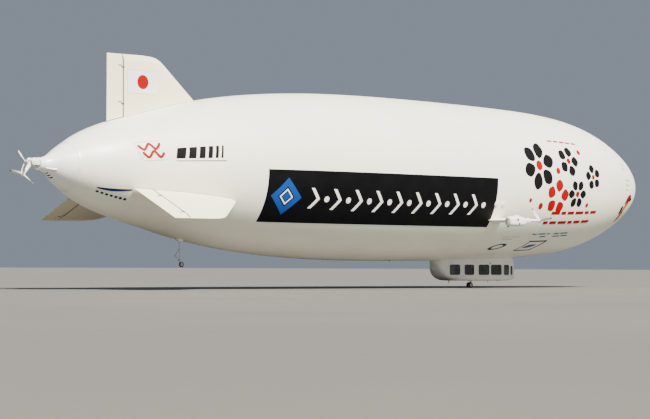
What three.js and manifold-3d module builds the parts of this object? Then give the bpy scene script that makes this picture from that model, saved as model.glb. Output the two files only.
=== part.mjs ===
import * as THREE from 'three';
import { mergeVertices } from 'three/addons/utils/BufferGeometryUtils.js';
import Module from 'manifold-3d';

// A semi-rigid airship as a half-scale model, in millimetres. +X points to the nose and +Z up,
// so starboard is -Y. The origin lies on the hull's axis, at its centre of buoyancy.

const wasm = await Module();
wasm.setup();

// Clearances that the whole model shares
const seatGap = 0.3;
const pinGap = 0.5;
const runningGap = 8;
const weldTolerance = 0.001;

// Hull: a thin shell of revolution between the tail cone and the nose cap.
// Columns: station along the axis, radius of the outer skin
const hullSides = 40;
const noseSides = 24;
const hullWall = 10;
const hullRows = [
  [-16750, 940],
  [-16100, 1290],
  [-15400, 1580],
  [-14500, 1863],
  [-12800, 2285],
  [-10800, 2740],
  [-8500, 3110],
  [-6000, 3358],
  [-3400, 3494],
  [-500, 3540],
  [3500, 3512],
  [7500, 3431],
  [10000, 3325],
  [11800, 3155],
  [13200, 2912],
  [14500, 2550],
  [15600, 2128],
  [16500, 1702],
  [17200, 1275],
  [17600, 960],
  [17900, 682],
];

// Nose cap, from the hull's front ring to its rounded tip, and the mooring spindle in it
const noseRows = [
  [17900, 682],
  [18040, 540],
  [18140, 400],
  [18200, 260],
  [18225, 150],
];
const noseWall = 20;
const noseTip = 18230;
const spindle = { radius: 45, headRadius: 75, headLength: 45, end: 18353, flangeRadius: 130, flange: 18 };

// Tail cone, hollow and hooked up a little at its narrow end.
// Columns: station, radius, height of its centre over the hull's axis
const tailSides = 24;
const tailWall = 12;
const tailRows = [
  [-18050, 230, 60],
  [-17850, 280, 48],
  [-17650, 362, 36],
  [-17450, 490, 24],
  [-17250, 637, 14],
  [-17000, 797, 5],
  [-16750, 940, 0],
];
const tailBulkhead = { station: -17010, thickness: 14 };
const tailEngine = { length: 400, width: 300, height: 270 };
const tailVent = { first: -17720, pitch: 115, count: 3, length: 60, halfWidth: 150, depth: 700 };

// Tail drive: a fork on the cone holds a swivelling gear head, and a side propeller sits to port
const tailPivot = { x: -18350, z: 150 };
const tailTilt = THREE.MathUtils.degToRad(50);
const fork = { inner: 125, outer: 170, radius: 140, webEnd: -18205 };
const gearHead = { barrelRadius: 122, halfWidth: 116, armRoot: 92, armTip: 62, armEnd: 560, journal: 60 };
const pusherReach = 640;
const lateralReach = 400;
const lateralBoss = { root: 88, tip: 50 };

// Fins: one upright and two drooping, all to one planform, each with a hinged surface behind.
// Columns: distance from the hull's axis, station of the leading edge
const finRows = [
  [1700, -8723],
  [2900, -10190],
  [3600, -11046],
  [4245, -11835],
  [4390, -12080],
  [4475, -12400],
  [4505, -12850],
];
const finChordSteps = [0, 0.25, 0.5, 0.7, 0.85, 0.94, 0.985, 1];
const finThickness = 0.06;
const finTrailing = -14690;
const finTrailingHalf = 5;
const hingeStation = -13940;
const surfaceRootGap = 14;
const finTurns = { top: 0, starboard: 116, port: -116 };
const hingeLug = { spans: [2555, 3995], radius: 38, halfWidth: 24, pin: 10, bore: 10.5, notch: 33 };

// Side engines. Nacelle columns: station behind the swivel pin, half width, top, bottom, corner
const engineX = 5620;
const engineY = 4200;
const engineZ = -1745;
const nacelleWall = 10;
const nacelleRows = [
  [-1220, 120, 85, -195, 60],
  [-1175, 180, 135, -242, 80],
  [-1070, 215, 162, -265, 85],
  [-950, 225, 170, -268, 85],
  [-520, 225, 165, -268, 85],
  [-320, 212, 128, -232, 85],
  [-170, 190, 82, -165, 70],
];
const cheek = { inner: 140, outer: 185, radius: 105 };
const sideHead = { barrelRadius: 100, halfWidth: 132, armRoot: 80, armTip: 48, armEnd: 860, journal: 55 };
const sideReach = 930;
const sideEngine = { start: -930, length: 390, halfWidth: 138, height: 300 };
const ducts = [
  { x: -800, z: 5, radius: 58 },
  { x: -690, z: -165, radius: 46 },
];
// Pylon columns: distance from the hull's axis plane, leading edge, trailing edge, half thickness
const pylonRows = [
  [2300, 5480, 4380, 150],
  [3300, 5290, 4500, 105],
  [3900, 5160, 4620, 92],
];

// Propellers. Blade columns: share of the radius, share of the root chord, thickness, pitch in degrees
const bladeRows = [
  [0.08, 0.62, 0.42, 62],
  [0.22, 0.86, 0.24, 50],
  [0.45, 1.0, 0.15, 36],
  [0.72, 0.9, 0.11, 27],
  [0.93, 0.66, 0.09, 22],
  [1.0, 0.3, 0.09, 20],
];
const propellers = {
  side: { radius: 700, chord: 118, hub: 62, spinner: 120, back: 38 },
  pusher: { radius: 650, chord: 118, hub: 66, spinner: 110, back: 40 },
  lateral: { radius: 575, chord: 104, hub: 60, spinner: 80, back: 38 },
};

// Round covers low on the hull's sides, two to a side
const covers = { stations: [4650, 5115], angle: 107.5, radius: 125, rise: 45 };

// Aft gear: a box under the hull, a castoring leg with a scissor link behind it, and one wheel
const aftGear = { x: -10860, boxHalfLength: 125, boxHalfWidth: 100, boxBottom: -2800 };
const aftLeg = { upper: 20, lower: 13, shoulder: -3250, crown: -3545, clamp: 30 };
const aftLink = { top: -3120, knee: [-240, -3390], bottom: -3540, halfWidth: 16, depth: 24 };
const aftWheel = { trail: 110, z: -3730, radius: 110, halfWidth: 32, arm: 9, axle: 9.5 };

// Main gear under the cabin: a flange, a castoring leg and twin wheels on one axle
const mainGear = { x: 6750, flangeRadius: 90, flange: 20, stem: 34, crown: -4478, legHalf: 22 };
const mainWheel = { trail: -70, z: -4600, radius: 125, inner: 34, outer: 96, axle: 18 };

// Gondola columns: station, half width, top, bottom, lower corner radius
const gondolaRows = [
  [4250, 300, -3300, -3760, 120],
  [4420, 430, -3300, -4010, 170],
  [4700, 530, -3300, -4240, 200],
  [5100, 562, -3300, -4372, 190],
  [5600, 562, -3300, -4400, 170],
  [8350, 562, -3300, -4400, 170],
  [8800, 535, -3300, -4392, 170],
  [9100, 470, -3320, -4365, 160],
  [9260, 405, -3440, -4335, 150],
  [9400, 310, -3760, -4285, 130],
  [9500, 190, -4040, -4215, 80],
];
const gondolaWall = 36;
const floorTop = -4320;
const roofTop = -3512;
const roofThickness = 26;
const aftSplit = 4700;
const keel = { end: 5056, halfWidth: 380, top: -4150 };
const noseSplit = 8860;
// Window columns: aft edge, fore edge. The aftmost one differs, as it's in the door to port
const windows = [
  [5720, 6330],
  [6670, 7365],
  [7510, 8220],
  [8420, 8760],
];
const aftWindows = { starboard: [4760, 5385], port: [5125, 5555] };
const windowTop = -3695;
const windowBottom = -4125;
const windowCorner = 70;
const quarterWindow = { aft: 8930, fore: 9090, top: -3745, bottom: -4120, corner: 50 };
const windscreen = { halfWidth: 330, aft: 9150, top: -3560, bottom: -4110, post: 22 };
const glassThickness = 6;
const door = { aft: 5060, fore: 5620, bottom: -4270, top: -3548, gap: 9, hingeRadius: 11, sink: 13 };
const doorDepth = { leaf: 508, opening: 470 };

// Cabin furniture: single seats in two files, two pilot seats and a console
const seat = { width: 215, depth: 215, pan: 60, height: 215, back: 330, backDepth: 52, post: 60 };
const seatFile = { first: 5800, pitch: 465, count: 6, offset: 345, railWidth: 44, rail: 14 };
const pilotSeats = { x: 8560, offset: 225 };
const dashboard = { aft: 8960, fore: 9110, halfWidth: 235, top: -4080 };

const paint = { color: 0xf4f2e8, roughness: 0.45, metalness: 0.0 };
const fabric = { color: 0xf3f1e6, roughness: 0.62, metalness: 0.0 };
const bareMetal = { color: 0x9a9c9e, roughness: 0.35, metalness: 0.9 };
const darkMetal = { color: 0x3a3c3e, roughness: 0.5, metalness: 0.8 };
const tyreRubber = { color: 0x1b1b1c, roughness: 0.85, metalness: 0.0 };
const tintedGlass = { color: 0x20282c, roughness: 0.08, metalness: 0.0 };
const seatCloth = { color: 0x3d4a63, roughness: 0.9, metalness: 0.0 };

const airship = new THREE.Group();

function place(name, geometry, finish) {
  const mesh = new THREE.Mesh(geometry, new THREE.MeshStandardMaterial(finish));
  mesh.name = name;
  airship.add(mesh);
}

// Closed bodies: shared vertices, no empty triangles, faces turned outwards
function closedBody(geometry) {
  const bare = geometry.clone();
  bare.deleteAttribute('normal');
  bare.deleteAttribute('uv');
  const merged = mergeVertices(bare, weldTolerance);
  const index = merged.index.array;
  const at = merged.attributes.position;
  const faces = [];
  let volume = 0;
  for (let i = 0; i < index.length; i += 3) {
    const [a, b, c] = [index[i], index[i + 1], index[i + 2]];
    if (a === b || b === c || c === a) continue;
    const pa = new THREE.Vector3().fromBufferAttribute(at, a);
    const pb = new THREE.Vector3().fromBufferAttribute(at, b);
    const pc = new THREE.Vector3().fromBufferAttribute(at, c);
    volume += pa.dot(pb.cross(pc));
    faces.push([a, b, c]);
  }
  const turned = volume > 0 ? faces : faces.map(([a, b, c]) => [a, c, b]);
  merged.setIndex(turned.flat());
  return merged;
}

function solid(geometry) {
  const body = closedBody(geometry);
  return new wasm.Manifold(new wasm.Mesh({
    numProp: 3,
    vertProperties: new Float32Array(body.attributes.position.array),
    triVerts: new Uint32Array(body.index.array),
  }));
}

function shape(manifold) {
  const mesh = manifold.getMesh();
  const geometry = new THREE.BufferGeometry();
  geometry.setAttribute('position', new THREE.BufferAttribute(new Float32Array(mesh.vertProperties), 3));
  geometry.setIndex(new THREE.BufferAttribute(new Uint32Array(mesh.triVerts), 1));
  return geometry;
}

function joined(parts) {
  return parts.reduce((whole, part) => whole.add(part));
}

function box(x0, x1, y0, y1, z0, z1) {
  const geometry = new THREE.BoxGeometry(x1 - x0, y1 - y0, z1 - z0);
  geometry.translate((x0 + x1) / 2, (y0 + y1) / 2, (z0 + z1) / 2);
  return solid(geometry);
}

// A round bar between two points, with its own radius at each end
function bar(from, to, startRadius, endRadius, sides = 12) {
  const start = new THREE.Vector3(...from);
  const along = new THREE.Vector3(...to).sub(start);
  const geometry = new THREE.CylinderGeometry(endRadius, startRadius, along.length(), sides);
  geometry.translate(0, along.length() / 2, 0);
  const up = new THREE.Vector3(0, 1, 0);
  geometry.applyQuaternion(new THREE.Quaternion().setFromUnitVectors(up, along.normalize()));
  geometry.translate(start.x, start.y, start.z);
  return solid(geometry);
}

// A body of revolution about X, from rows of station and radius that start and end on the axis
function turnedBody(rows, sides) {
  const outline = rows.map(([x, r]) => new THREE.Vector2(r, x));
  const geometry = new THREE.LatheGeometry(outline, sides);
  geometry.rotateZ(-Math.PI / 2);
  return geometry;
}

// A body through rings of equal point count, closed by a fan at each end
function loft(rings) {
  const count = rings[0].length;
  const points = rings.flat();
  const faces = [];
  for (let k = 0; k + 1 < rings.length; k += 1) {
    for (let i = 0; i < count; i += 1) {
      const a = k * count + i;
      const b = k * count + (i + 1) % count;
      faces.push(a, b, a + count, b, b + count, a + count);
    }
  }
  const last = (rings.length - 1) * count;
  for (let i = 1; i + 1 < count; i += 1) {
    faces.push(0, i + 1, i);
    faces.push(last, last + i, last + i + 1);
  }
  const geometry = new THREE.BufferGeometry().setFromPoints(points);
  geometry.setIndex(faces);
  return geometry;
}

// A rounded rectangle across the axis at one station
function frameRing(x, y, halfWidth, top, bottom, topCorner, bottomCorner) {
  const steps = [0, 1 / 3, 2 / 3, 1];
  const corners = [
    [1, top - topCorner, 0, topCorner],
    [-1, top - topCorner, 90, topCorner],
    [-1, bottom + bottomCorner, 180, bottomCorner],
    [1, bottom + bottomCorner, 270, bottomCorner],
  ];
  const ring = [];
  for (const [side, z, start, radius] of corners) {
    for (const step of steps) {
      const turn = THREE.MathUtils.degToRad(start + 90 * step);
      const across = side * (halfWidth - radius) + radius * Math.cos(turn);
      ring.push(new THREE.Vector3(x, y + across, z + radius * Math.sin(turn)));
    }
  }
  return ring;
}

function hullRadius(x) {
  const k = hullRows.findIndex(([station]) => station > x);
  const [x0, r0] = hullRows[k - 1];
  const [x1, r1] = hullRows[k];
  return r0 + (r1 - r0) * (x - x0) / (x1 - x0);
}

// The rows moved inwards by a wall's thickness, square to the skin
function innerRows(rows, wall) {
  return rows.map(([x, r], k) => {
    const [x0, r0] = rows[Math.max(k - 1, 0)];
    const [x1, r1] = rows[Math.min(k + 1, rows.length - 1)];
    const slope = (r1 - r0) / (x1 - x0);
    return [x, r - wall * Math.hypot(1, slope)];
  });
}

// The whole hull as a solid, a little larger than the skin, to trim what stands on it
function hullGrown(growth) {
  const grown = [...hullRows, ...noseRows.slice(1)].map(([x, r]) => [x, r + growth]);
  return solid(turnedBody([[grown[0][0], 0], ...grown, [noseTip, 0]], hullSides));
}

const hullSeat = hullGrown(seatGap);

function makeHull() {
  const inside = innerRows(hullRows, hullWall).reverse();
  const loop = [...hullRows, ...inside, hullRows[0]];
  place('envelope', closedBody(turnedBody(loop, hullSides)), fabric);
}

function makeNose() {
  const rear = noseRows[0][0] + seatGap;
  const outer = [[rear, noseRows[0][1] - seatGap], ...noseRows.slice(1), [noseTip, 0]];
  const inner = innerRows(noseRows, noseWall).slice(0, -1);
  const cavity = [[rear, inner[0][1]], ...inner.slice(1), [noseTip - noseWall * 3, 0]].reverse();
  const cap = solid(turnedBody([...outer, ...cavity, outer[0]], noseSides));
  const { radius, headRadius, headLength, end, flangeRadius, flange } = spindle;
  const seat = noseTip - 25;
  const stub = turnedBody([
    [seat, 0],
    [seat, flangeRadius],
    [seat + flange + 12, flangeRadius],
    [seat + flange + 12, radius],
    [end - headLength, radius],
    [end - headLength + 10, headRadius],
    [end - 10, headRadius],
    [end, headRadius - 12],
    [end, 0],
  ], 24);
  const pocket = bar([seat - seatGap, 0, 0], [end, 0, 0], flangeRadius + seatGap, flangeRadius + seatGap, 24);
  place('nose_cap', shape(cap.subtract(pocket)), paint);
  place('mooring_spindle', closedBody(stub), bareMetal);
}

function ringAt(x, radius, rise, sides) {
  const ring = [];
  for (let i = 0; i < sides; i += 1) {
    const turn = i * 2 * Math.PI / sides;
    ring.push(new THREE.Vector3(x, -radius * Math.sin(turn), rise + radius * Math.cos(turn)));
  }
  return ring;
}

function makeTailCone() {
  const outer = loft(tailRows.map(([x, r, rise]) => ringAt(x, r, rise, tailSides)));
  const inside = innerRows(tailRows, tailWall).map(([x, r], k) => [x, r, tailRows[k][2]]);
  inside[0][0] += tailWall * 2;
  inside[inside.length - 1][0] += 1;
  const hollow = solid(loft(inside.map(([x, r, rise]) => ringAt(x, r, rise, tailSides))));
  const { station, thickness } = tailBulkhead;
  const full = solid(outer);
  const wall = full.intersect(box(station - thickness, station, -1000, 1000, -1000, 1000));
  let shell = full.subtract(hollow).add(wall);
  for (let k = 0; k < tailVent.count; k += 1) {
    const x = tailVent.first + k * tailVent.pitch;
    const { length, halfWidth, depth } = tailVent;
    shell = shell.subtract(box(x, x + length, -halfWidth, halfWidth, -depth, 0));
  }
  place('tail_cone', shape(shell), paint);
  const rear = station - thickness - seatGap;
  const { length, width, height } = tailEngine;
  place('tail_engine', shape(box(rear - length, rear, -width / 2, width / 2, -height / 2, height / 2)), darkMetal);
}

function makeTailDrive() {
  const { x, z } = tailPivot;
  const coneEnd = tailRows[0][0] - seatGap;
  const { inner, outer, radius, webEnd } = fork;
  const arms = [-1, 1].map((side) => {
    const plate = box(x, coneEnd, side > 0 ? inner : -outer, side > 0 ? outer : -inner, z - radius, z + radius);
    const eye = bar([x, side * inner, z], [x, side * outer, z], radius, radius, 24);
    return plate.add(eye);
  });
  const web = box(webEnd, coneEnd, -outer, outer, z - radius, z + radius);
  const bossEnd = lateralReach - propellers.lateral.back - seatGap;
  const boss = bar([x, outer - 1, z], [x, bossEnd, z], lateralBoss.root, lateralBoss.tip, 20);
  place('tail_fork', shape(joined([...arms, web, boss])), paint);

  const { barrelRadius, halfWidth, armRoot, armTip, armEnd, journal } = gearHead;
  const aim = [-Math.cos(tailTilt), 0, -Math.sin(tailTilt)];
  const along = (reach) => [x + aim[0] * reach, 0, z + aim[2] * reach];
  const barrel = bar([x, -halfWidth, z], [x, halfWidth, z], barrelRadius, barrelRadius, 24);
  const seat = inner - seatGap;
  const journals = bar([x, -seat, z], [x, seat, z], journal, journal, 16);
  const arm = bar(along(0), along(armEnd), armRoot, armTip, 20);
  const pusher = propellers.pusher;
  const collar = bar(along(armEnd - 5), along(pusherReach - pusher.back - seatGap), armTip, armTip * 0.8, 20);
  place('tail_gear_head', shape(joined([barrel, journals, arm, collar])), paint);

  const pusherShape = makePropeller(pusher, 100);
  const back = new THREE.Quaternion().setFromUnitVectors(
    new THREE.Vector3(1, 0, 0),
    new THREE.Vector3(...aim),
  );
  pusherShape.applyQuaternion(back);
  pusherShape.translate(...along(pusherReach));
  place('pusher_propeller', pusherShape, paint);

  const lateralShape = makePropeller(propellers.lateral, 50);
  lateralShape.rotateZ(Math.PI / 2);
  lateralShape.translate(x, lateralReach, z);
  place('lateral_propeller', lateralShape, paint);
}

// A three-bladed propeller that pulls along +X, with its first blade turned from +Y towards +Z
function makePropeller({ radius, chord, hub, spinner, back }, phase) {
  const blades = [0, 120, 240].map((turn) => {
    const rings = bladeRows.map(([share, width, depth, pitch]) => {
      const lean = THREE.MathUtils.degToRad(pitch);
      const half = chord * width / 2;
      const thick = chord * width * depth / 2;
      const outline = [[1, 0], [0.5, 0.85], [-0.5, 0.85], [-1, 0], [-0.5, -0.85], [0.5, -0.85]];
      return outline.map(([c, t]) => {
        const across = c * half;
        const rise = t * thick;
        const x = across * Math.sin(lean) + rise * Math.cos(lean);
        const z = across * Math.cos(lean) - rise * Math.sin(lean);
        return new THREE.Vector3(x, share * radius, z);
      });
    });
    const blade = loft(rings);
    blade.rotateX(THREE.MathUtils.degToRad(phase + turn));
    return solid(blade);
  });
  const nose = turnedBody([
    [-back, 0],
    [-back, hub * 0.9],
    [-back * 0.4, hub],
    [back * 0.6, hub],
    [spinner * 0.62, hub * 0.72],
    [spinner * 0.9, hub * 0.34],
    [spinner, 0],
  ], 16);
  return shape(joined([solid(nose), ...blades]));
}

// Half the thickness of a fin's section, at a share of the chord from its leading edge
function sectionHalf(share, chord) {
  const curve = 0.2969 * Math.sqrt(share) - 0.126 * share - 0.3516 * share ** 2
    + 0.2843 * share ** 3 - 0.1015 * share ** 4;
  return Math.max(5 * finThickness * chord * curve, share > 0.5 ? finTrailingHalf : 0);
}

function makeFin(side) {
  const turn = THREE.MathUtils.degToRad(finTurns[side]);
  const fixedRings = [];
  const movingRings = [];
  for (const [span, leading] of finRows) {
    const chord = leading - finTrailing;
    const halfAt = (x) => sectionHalf((leading - x) / chord, chord);
    const taper = span > finRows[3][0] ? 1 - 0.75 * (span - finRows[3][0]) / 260 : 1;
    const noseHalf = halfAt(hingeStation) * taper;
    const face = hingeStation + noseHalf + runningGap;
    const upper = finChordSteps.map((step) => {
      const x = face + step * (leading - face);
      return [x, step === 1 ? 0 : halfAt(x) * taper];
    });
    const lower = upper.slice(0, -1).reverse().map(([x, half]) => [x, -half]);
    fixedRings.push([...upper, ...lower].map(([x, y]) => new THREE.Vector3(x, y, span)));
    const diagonal = noseHalf * Math.SQRT1_2;
    const flap = [
      [finTrailing, finTrailingHalf],
      [hingeStation, noseHalf],
      [hingeStation + diagonal, diagonal],
      [hingeStation + noseHalf, 0],
      [hingeStation + diagonal, -diagonal],
      [hingeStation, -noseHalf],
      [finTrailing, -finTrailingHalf],
    ];
    movingRings.push(flap.map(([x, y]) => new THREE.Vector3(x, y, span)));
  }
  let fixed = solid(loft(fixedRings).rotateX(turn));
  let moving = solid(loft(movingRings).rotateX(turn));
  const spun = (geometry) => solid(geometry.rotateX(turn));
  const upright = (radius, x, from, to, sides) => {
    const geometry = new THREE.CylinderGeometry(radius, radius, to - from, sides);
    return geometry.rotateX(Math.PI / 2).translate(x, 0, (from + to) / 2);
  };
  const block = (x0, x1, half, z0, z1) => {
    const geometry = new THREE.BoxGeometry(x1 - x0, half * 2, z1 - z0);
    return geometry.translate((x0 + x1) / 2, 0, (z0 + z1) / 2);
  };
  const { spans, radius, halfWidth, pin, bore, notch } = hingeLug;
  for (const span of spans) {
    const [low, high] = [span - halfWidth, span + halfWidth];
    const eye = spun(upright(radius, hingeStation, low, high, 14));
    const root = spun(block(hingeStation, hingeStation + 90, radius * 0.7, low, high));
    const hole = spun(upright(bore, hingeStation, low - 5, high + 5, 12));
    fixed = fixed.add(eye).add(root).subtract(hole);
    const reach = radius + runningGap;
    const slot = spun(block(hingeStation - reach, hingeStation + 120, 100, span - notch, span + notch));
    const shaft = spun(upright(pin, hingeStation, span - notch - 10, span + notch + 10, 12));
    moving = moving.subtract(slot).add(shaft);
  }
  place(`fin_${side}`, shape(fixed.subtract(hullSeat)), paint);
  const surface = side === 'top' ? 'rudder_top' : `elevator_${side}`;
  place(surface, shape(moving.subtract(hullGrown(surfaceRootGap))), paint);
}

function makeSideEngine(side, label) {
  const y = side * engineY;
  const ring = ([x, half, top, bottom, corner], inset) => frameRing(
    engineX + x,
    y,
    half - inset,
    engineZ + top - inset,
    engineZ + bottom + inset,
    corner - inset,
    corner - inset,
  );
  const outer = solid(loft(nacelleRows.map((row) => ring(row, 0))));
  const inner = solid(loft(nacelleRows.slice(1).map((row) => ring(row, nacelleWall))));
  const { inner: near, outer: far, radius } = cheek;
  let shell = outer.subtract(inner);
  const frontWall = engineX + nacelleRows[nacelleRows.length - 1][0];
  shell = shell.add(outer.intersect(box(frontWall - nacelleWall, frontWall, y - 300, y + 300, -3000, 0)));
  for (const hand of [-1, 1]) {
    const faces = [y + hand * near, y + hand * far];
    const [low, high] = faces.sort((a, b) => a - b);
    const plate = box(frontWall - 4, engineX, low, high, engineZ - radius * 0.78, engineZ + radius * 0.74);
    const eye = bar([engineX, low, engineZ], [engineX, high, engineZ], radius, radius, 24);
    shell = shell.add(plate).add(eye);
  }
  for (const duct of ducts) {
    const x = engineX + duct.x;
    const z = engineZ + duct.z;
    shell = shell.subtract(bar([x, y + side * 150, z], [x, y + side * 280, z], duct.radius, duct.radius, 16));
  }
  place(`nacelle_${label}`, shape(shell), paint);

  const { start, length, halfWidth, height } = sideEngine;
  const floor = engineZ + nacelleRows[3][3] + nacelleWall + seatGap;
  const x0 = engineX + start;
  place(`engine_${label}`, shape(box(x0, x0 + length, y - halfWidth, y + halfWidth, floor, floor + height)), darkMetal);

  const head = sideHead;
  const across = (half, r) => bar([engineX, y - half, engineZ], [engineX, y + half, engineZ], r, r, 20);
  const barrel = across(head.halfWidth, head.barrelRadius);
  const journals = across(cheek.inner - seatGap, head.journal);
  const arm = bar([engineX, y, engineZ], [engineX + head.armEnd, y, engineZ], head.armRoot, head.armTip, 20);
  const prop = propellers.side;
  const collarEnd = engineX + sideReach - prop.back - seatGap;
  const collarStart = engineX + head.armEnd - 5;
  const collar = bar([collarStart, y, engineZ], [collarEnd, y, engineZ], head.armTip, head.armTip * 0.8, 20);
  place(`swivel_${label}`, shape(joined([barrel, journals, arm, collar])), paint);

  const propeller = makePropeller(prop, 51);
  if (side > 0) propeller.scale(1, -1, 1);
  propeller.translate(engineX + sideReach, y, engineZ);
  place(`propeller_${label}`, closedBody(propeller), paint);

  const lens = [[0, 0], [0.12, 0.62], [0.35, 1], [0.65, 0.82], [1, 0.06], [1, -0.06], [0.65, -0.82], [0.35, -1], [0.12, -0.62]];
  const faceY = engineY - nacelleRows[3][1] - seatGap;
  const rows = [...pylonRows, [faceY, ...pylonRows[pylonRows.length - 1].slice(1)]];
  const rings = rows.map(([out, leading, trailing, half]) => lens.map(([share, rise]) => new THREE.Vector3(
    leading + (trailing - leading) * share,
    side * out,
    engineZ + rise * half,
  )));
  place(`pylon_${label}`, shape(solid(loft(rings)).subtract(hullSeat)), paint);
}

function makeCovers(side, label) {
  const { stations, angle, radius, rise } = covers;
  const turn = THREE.MathUtils.degToRad(angle) * -side;
  stations.forEach((x, k) => {
    const skin = hullRadius(x);
    const dome = new THREE.LatheGeometry([
      new THREE.Vector2(0, -60),
      new THREE.Vector2(radius, -60),
      new THREE.Vector2(radius, rise * 0.55),
      new THREE.Vector2(radius * 0.86, rise * 0.95),
      new THREE.Vector2(0, rise),
    ], 24);
    dome.rotateX(Math.PI / 2);
    dome.translate(0, 0, skin);
    dome.rotateX(turn);
    dome.translate(x, 0, 0);
    const name = `cover_${k ? 'forward' : 'aft'}_${label}`;
    place(name, shape(solid(dome).subtract(hullSeat)), paint);
  });
}

function wheelBody(radius, halfWidth, sides = 20) {
  const shoulder = radius * 0.9;
  return turnedBody([
    [-halfWidth * 0.7, 0],
    [-halfWidth * 0.7, radius * 0.55],
    [-halfWidth, radius * 0.66],
    [-halfWidth, shoulder],
    [-halfWidth * 0.62, radius],
    [halfWidth * 0.62, radius],
    [halfWidth, shoulder],
    [halfWidth, radius * 0.66],
    [halfWidth * 0.7, radius * 0.55],
    [halfWidth * 0.7, 0],
  ], sides).rotateZ(Math.PI / 2);
}

function makeAftGear() {
  const { x, boxHalfLength, boxHalfWidth, boxBottom } = aftGear;
  const top = -hullRadius(x) + 60;
  const housing = box(x - boxHalfLength, x + boxHalfLength, -boxHalfWidth, boxHalfWidth, boxBottom, top);
  place('aft_gear_box', shape(housing.subtract(hullSeat)), paint);

  const leg = aftLeg;
  const start = boxBottom - seatGap;
  const wheelX = x + aftWheel.trail;
  const parts = [
    bar([x, 0, start], [x, 0, leg.shoulder], leg.upper, leg.upper),
    bar([x, 0, start - 40], [x, 0, start - 90], leg.clamp, leg.clamp),
    bar([x, 0, leg.shoulder + 5], [x, 0, leg.crown], leg.lower, leg.lower),
  ];
  const { top: linkTop, knee, bottom, halfWidth, depth } = aftLink;
  const kneeX = x + knee[0];
  const link = (fromX, fromZ, toX, toZ) => {
    const run = new THREE.Vector2(toX - fromX, toZ - fromZ);
    const plate = new THREE.BoxGeometry(run.length() + depth, halfWidth * 2, depth);
    plate.rotateY(-run.angle());
    plate.translate((fromX + toX) / 2, 0, (fromZ + toZ) / 2);
    return solid(plate);
  };
  parts.push(link(x, linkTop, kneeX, knee[1]));
  parts.push(link(kneeX, knee[1], x, bottom));
  const armY = aftWheel.halfWidth + runningGap + aftWheel.arm;
  const crownX = x + 20;
  parts.push(box(x - 24, crownX + 40, -armY - aftWheel.arm, armY + aftWheel.arm, leg.crown - 34, leg.crown + 6));
  for (const hand of [-1, 1]) {
    const tine = bar([crownX, hand * armY, leg.crown - 10], [wheelX, hand * armY, aftWheel.z], 17, aftWheel.arm + 4, 12);
    const y0 = hand * armY;
    const eye = bar([wheelX, y0 - aftWheel.arm, aftWheel.z], [wheelX, y0 + aftWheel.arm, aftWheel.z], 22, 22, 16);
    parts.push(tine.intersect(box(x - 100, wheelX + 60, y0 - aftWheel.arm, y0 + aftWheel.arm, -4000, 0)), eye);
  }
  const tyre = solid(wheelBody(aftWheel.radius, aftWheel.halfWidth).translate(wheelX, 0, aftWheel.z));
  const fork = joined(parts);
  const { axle: axleRadius } = aftWheel;
  const boreRadius = axleRadius + pinGap;
  const bore = bar([wheelX, -80, aftWheel.z], [wheelX, 80, aftWheel.z], boreRadius, boreRadius);
  const axle = bar([wheelX, -armY, aftWheel.z], [wheelX, armY, aftWheel.z], axleRadius, axleRadius);
  place('aft_leg', shape(fork.subtract(bore)), bareMetal);
  place('aft_wheel', shape(tyre.add(axle)), tyreRubber);
}

function makeMainGear() {
  const { x, flangeRadius, flange, stem, crown, legHalf } = mainGear;
  const belly = gondolaRows[4][3];
  const flangeTop = belly - seatGap;
  const plate = bar([x, 0, flangeTop], [x, 0, flangeTop - flange], flangeRadius, flangeRadius, 24);
  place('main_gear_flange', shape(plate), bareMetal);

  const start = flangeTop - flange - seatGap;
  const wheelX = x + mainWheel.trail;
  const strut = bar([x, 0, start], [x, 0, crown], stem, stem);
  const web = new THREE.Shape([
    new THREE.Vector2(stem, start),
    new THREE.Vector2(stem, crown - 30),
    new THREE.Vector2(mainWheel.trail + 34, mainWheel.z - 20),
    new THREE.Vector2(mainWheel.trail - 34, mainWheel.z - 12),
    new THREE.Vector2(mainWheel.trail - 34, mainWheel.z + 34),
    new THREE.Vector2(-stem, start),
  ]);
  const slab = new THREE.ExtrudeGeometry(web, { depth: legHalf * 2, bevelEnabled: false });
  slab.rotateX(Math.PI / 2).translate(x, legHalf, 0);
  const hub = bar([wheelX, -legHalf, mainWheel.z], [wheelX, legHalf, mainWheel.z], 38, 38, 20);
  const boreRadius = mainWheel.axle + pinGap;
  const bore = bar([wheelX, -60, mainWheel.z], [wheelX, 60, mainWheel.z], boreRadius, boreRadius);
  place('main_leg', shape(joined([strut, solid(slab), hub]).subtract(bore)), bareMetal);

  const half = (mainWheel.outer - mainWheel.inner) / 2;
  const middle = (mainWheel.outer + mainWheel.inner) / 2;
  const tyres = [-1, 1].map((hand) => solid(
    wheelBody(mainWheel.radius, half).translate(wheelX, hand * middle, mainWheel.z),
  ));
  const axle = bar([wheelX, -middle, mainWheel.z], [wheelX, middle, mainWheel.z], mainWheel.axle, mainWheel.axle);
  place('main_wheels', shape(joined([axle, ...tyres])), tyreRubber);
}

// Gondola: a hollow hull of panels under the envelope
function gondolaSolid(inset) {
  const rings = gondolaRows.map(([x, half, top, bottom, corner], k) => {
    const ends = k === 0 ? inset : k === gondolaRows.length - 1 ? -inset : 0;
    const roundness = Math.max(corner - inset, 12);
    const topCorner = Math.min(60, half - inset - 5);
    return frameRing(x + ends, 0, half - inset, top - (k < 8 ? 0 : inset), bottom + inset, topCorner, roundness);
  });
  return solid(loft(rings));
}

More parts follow.
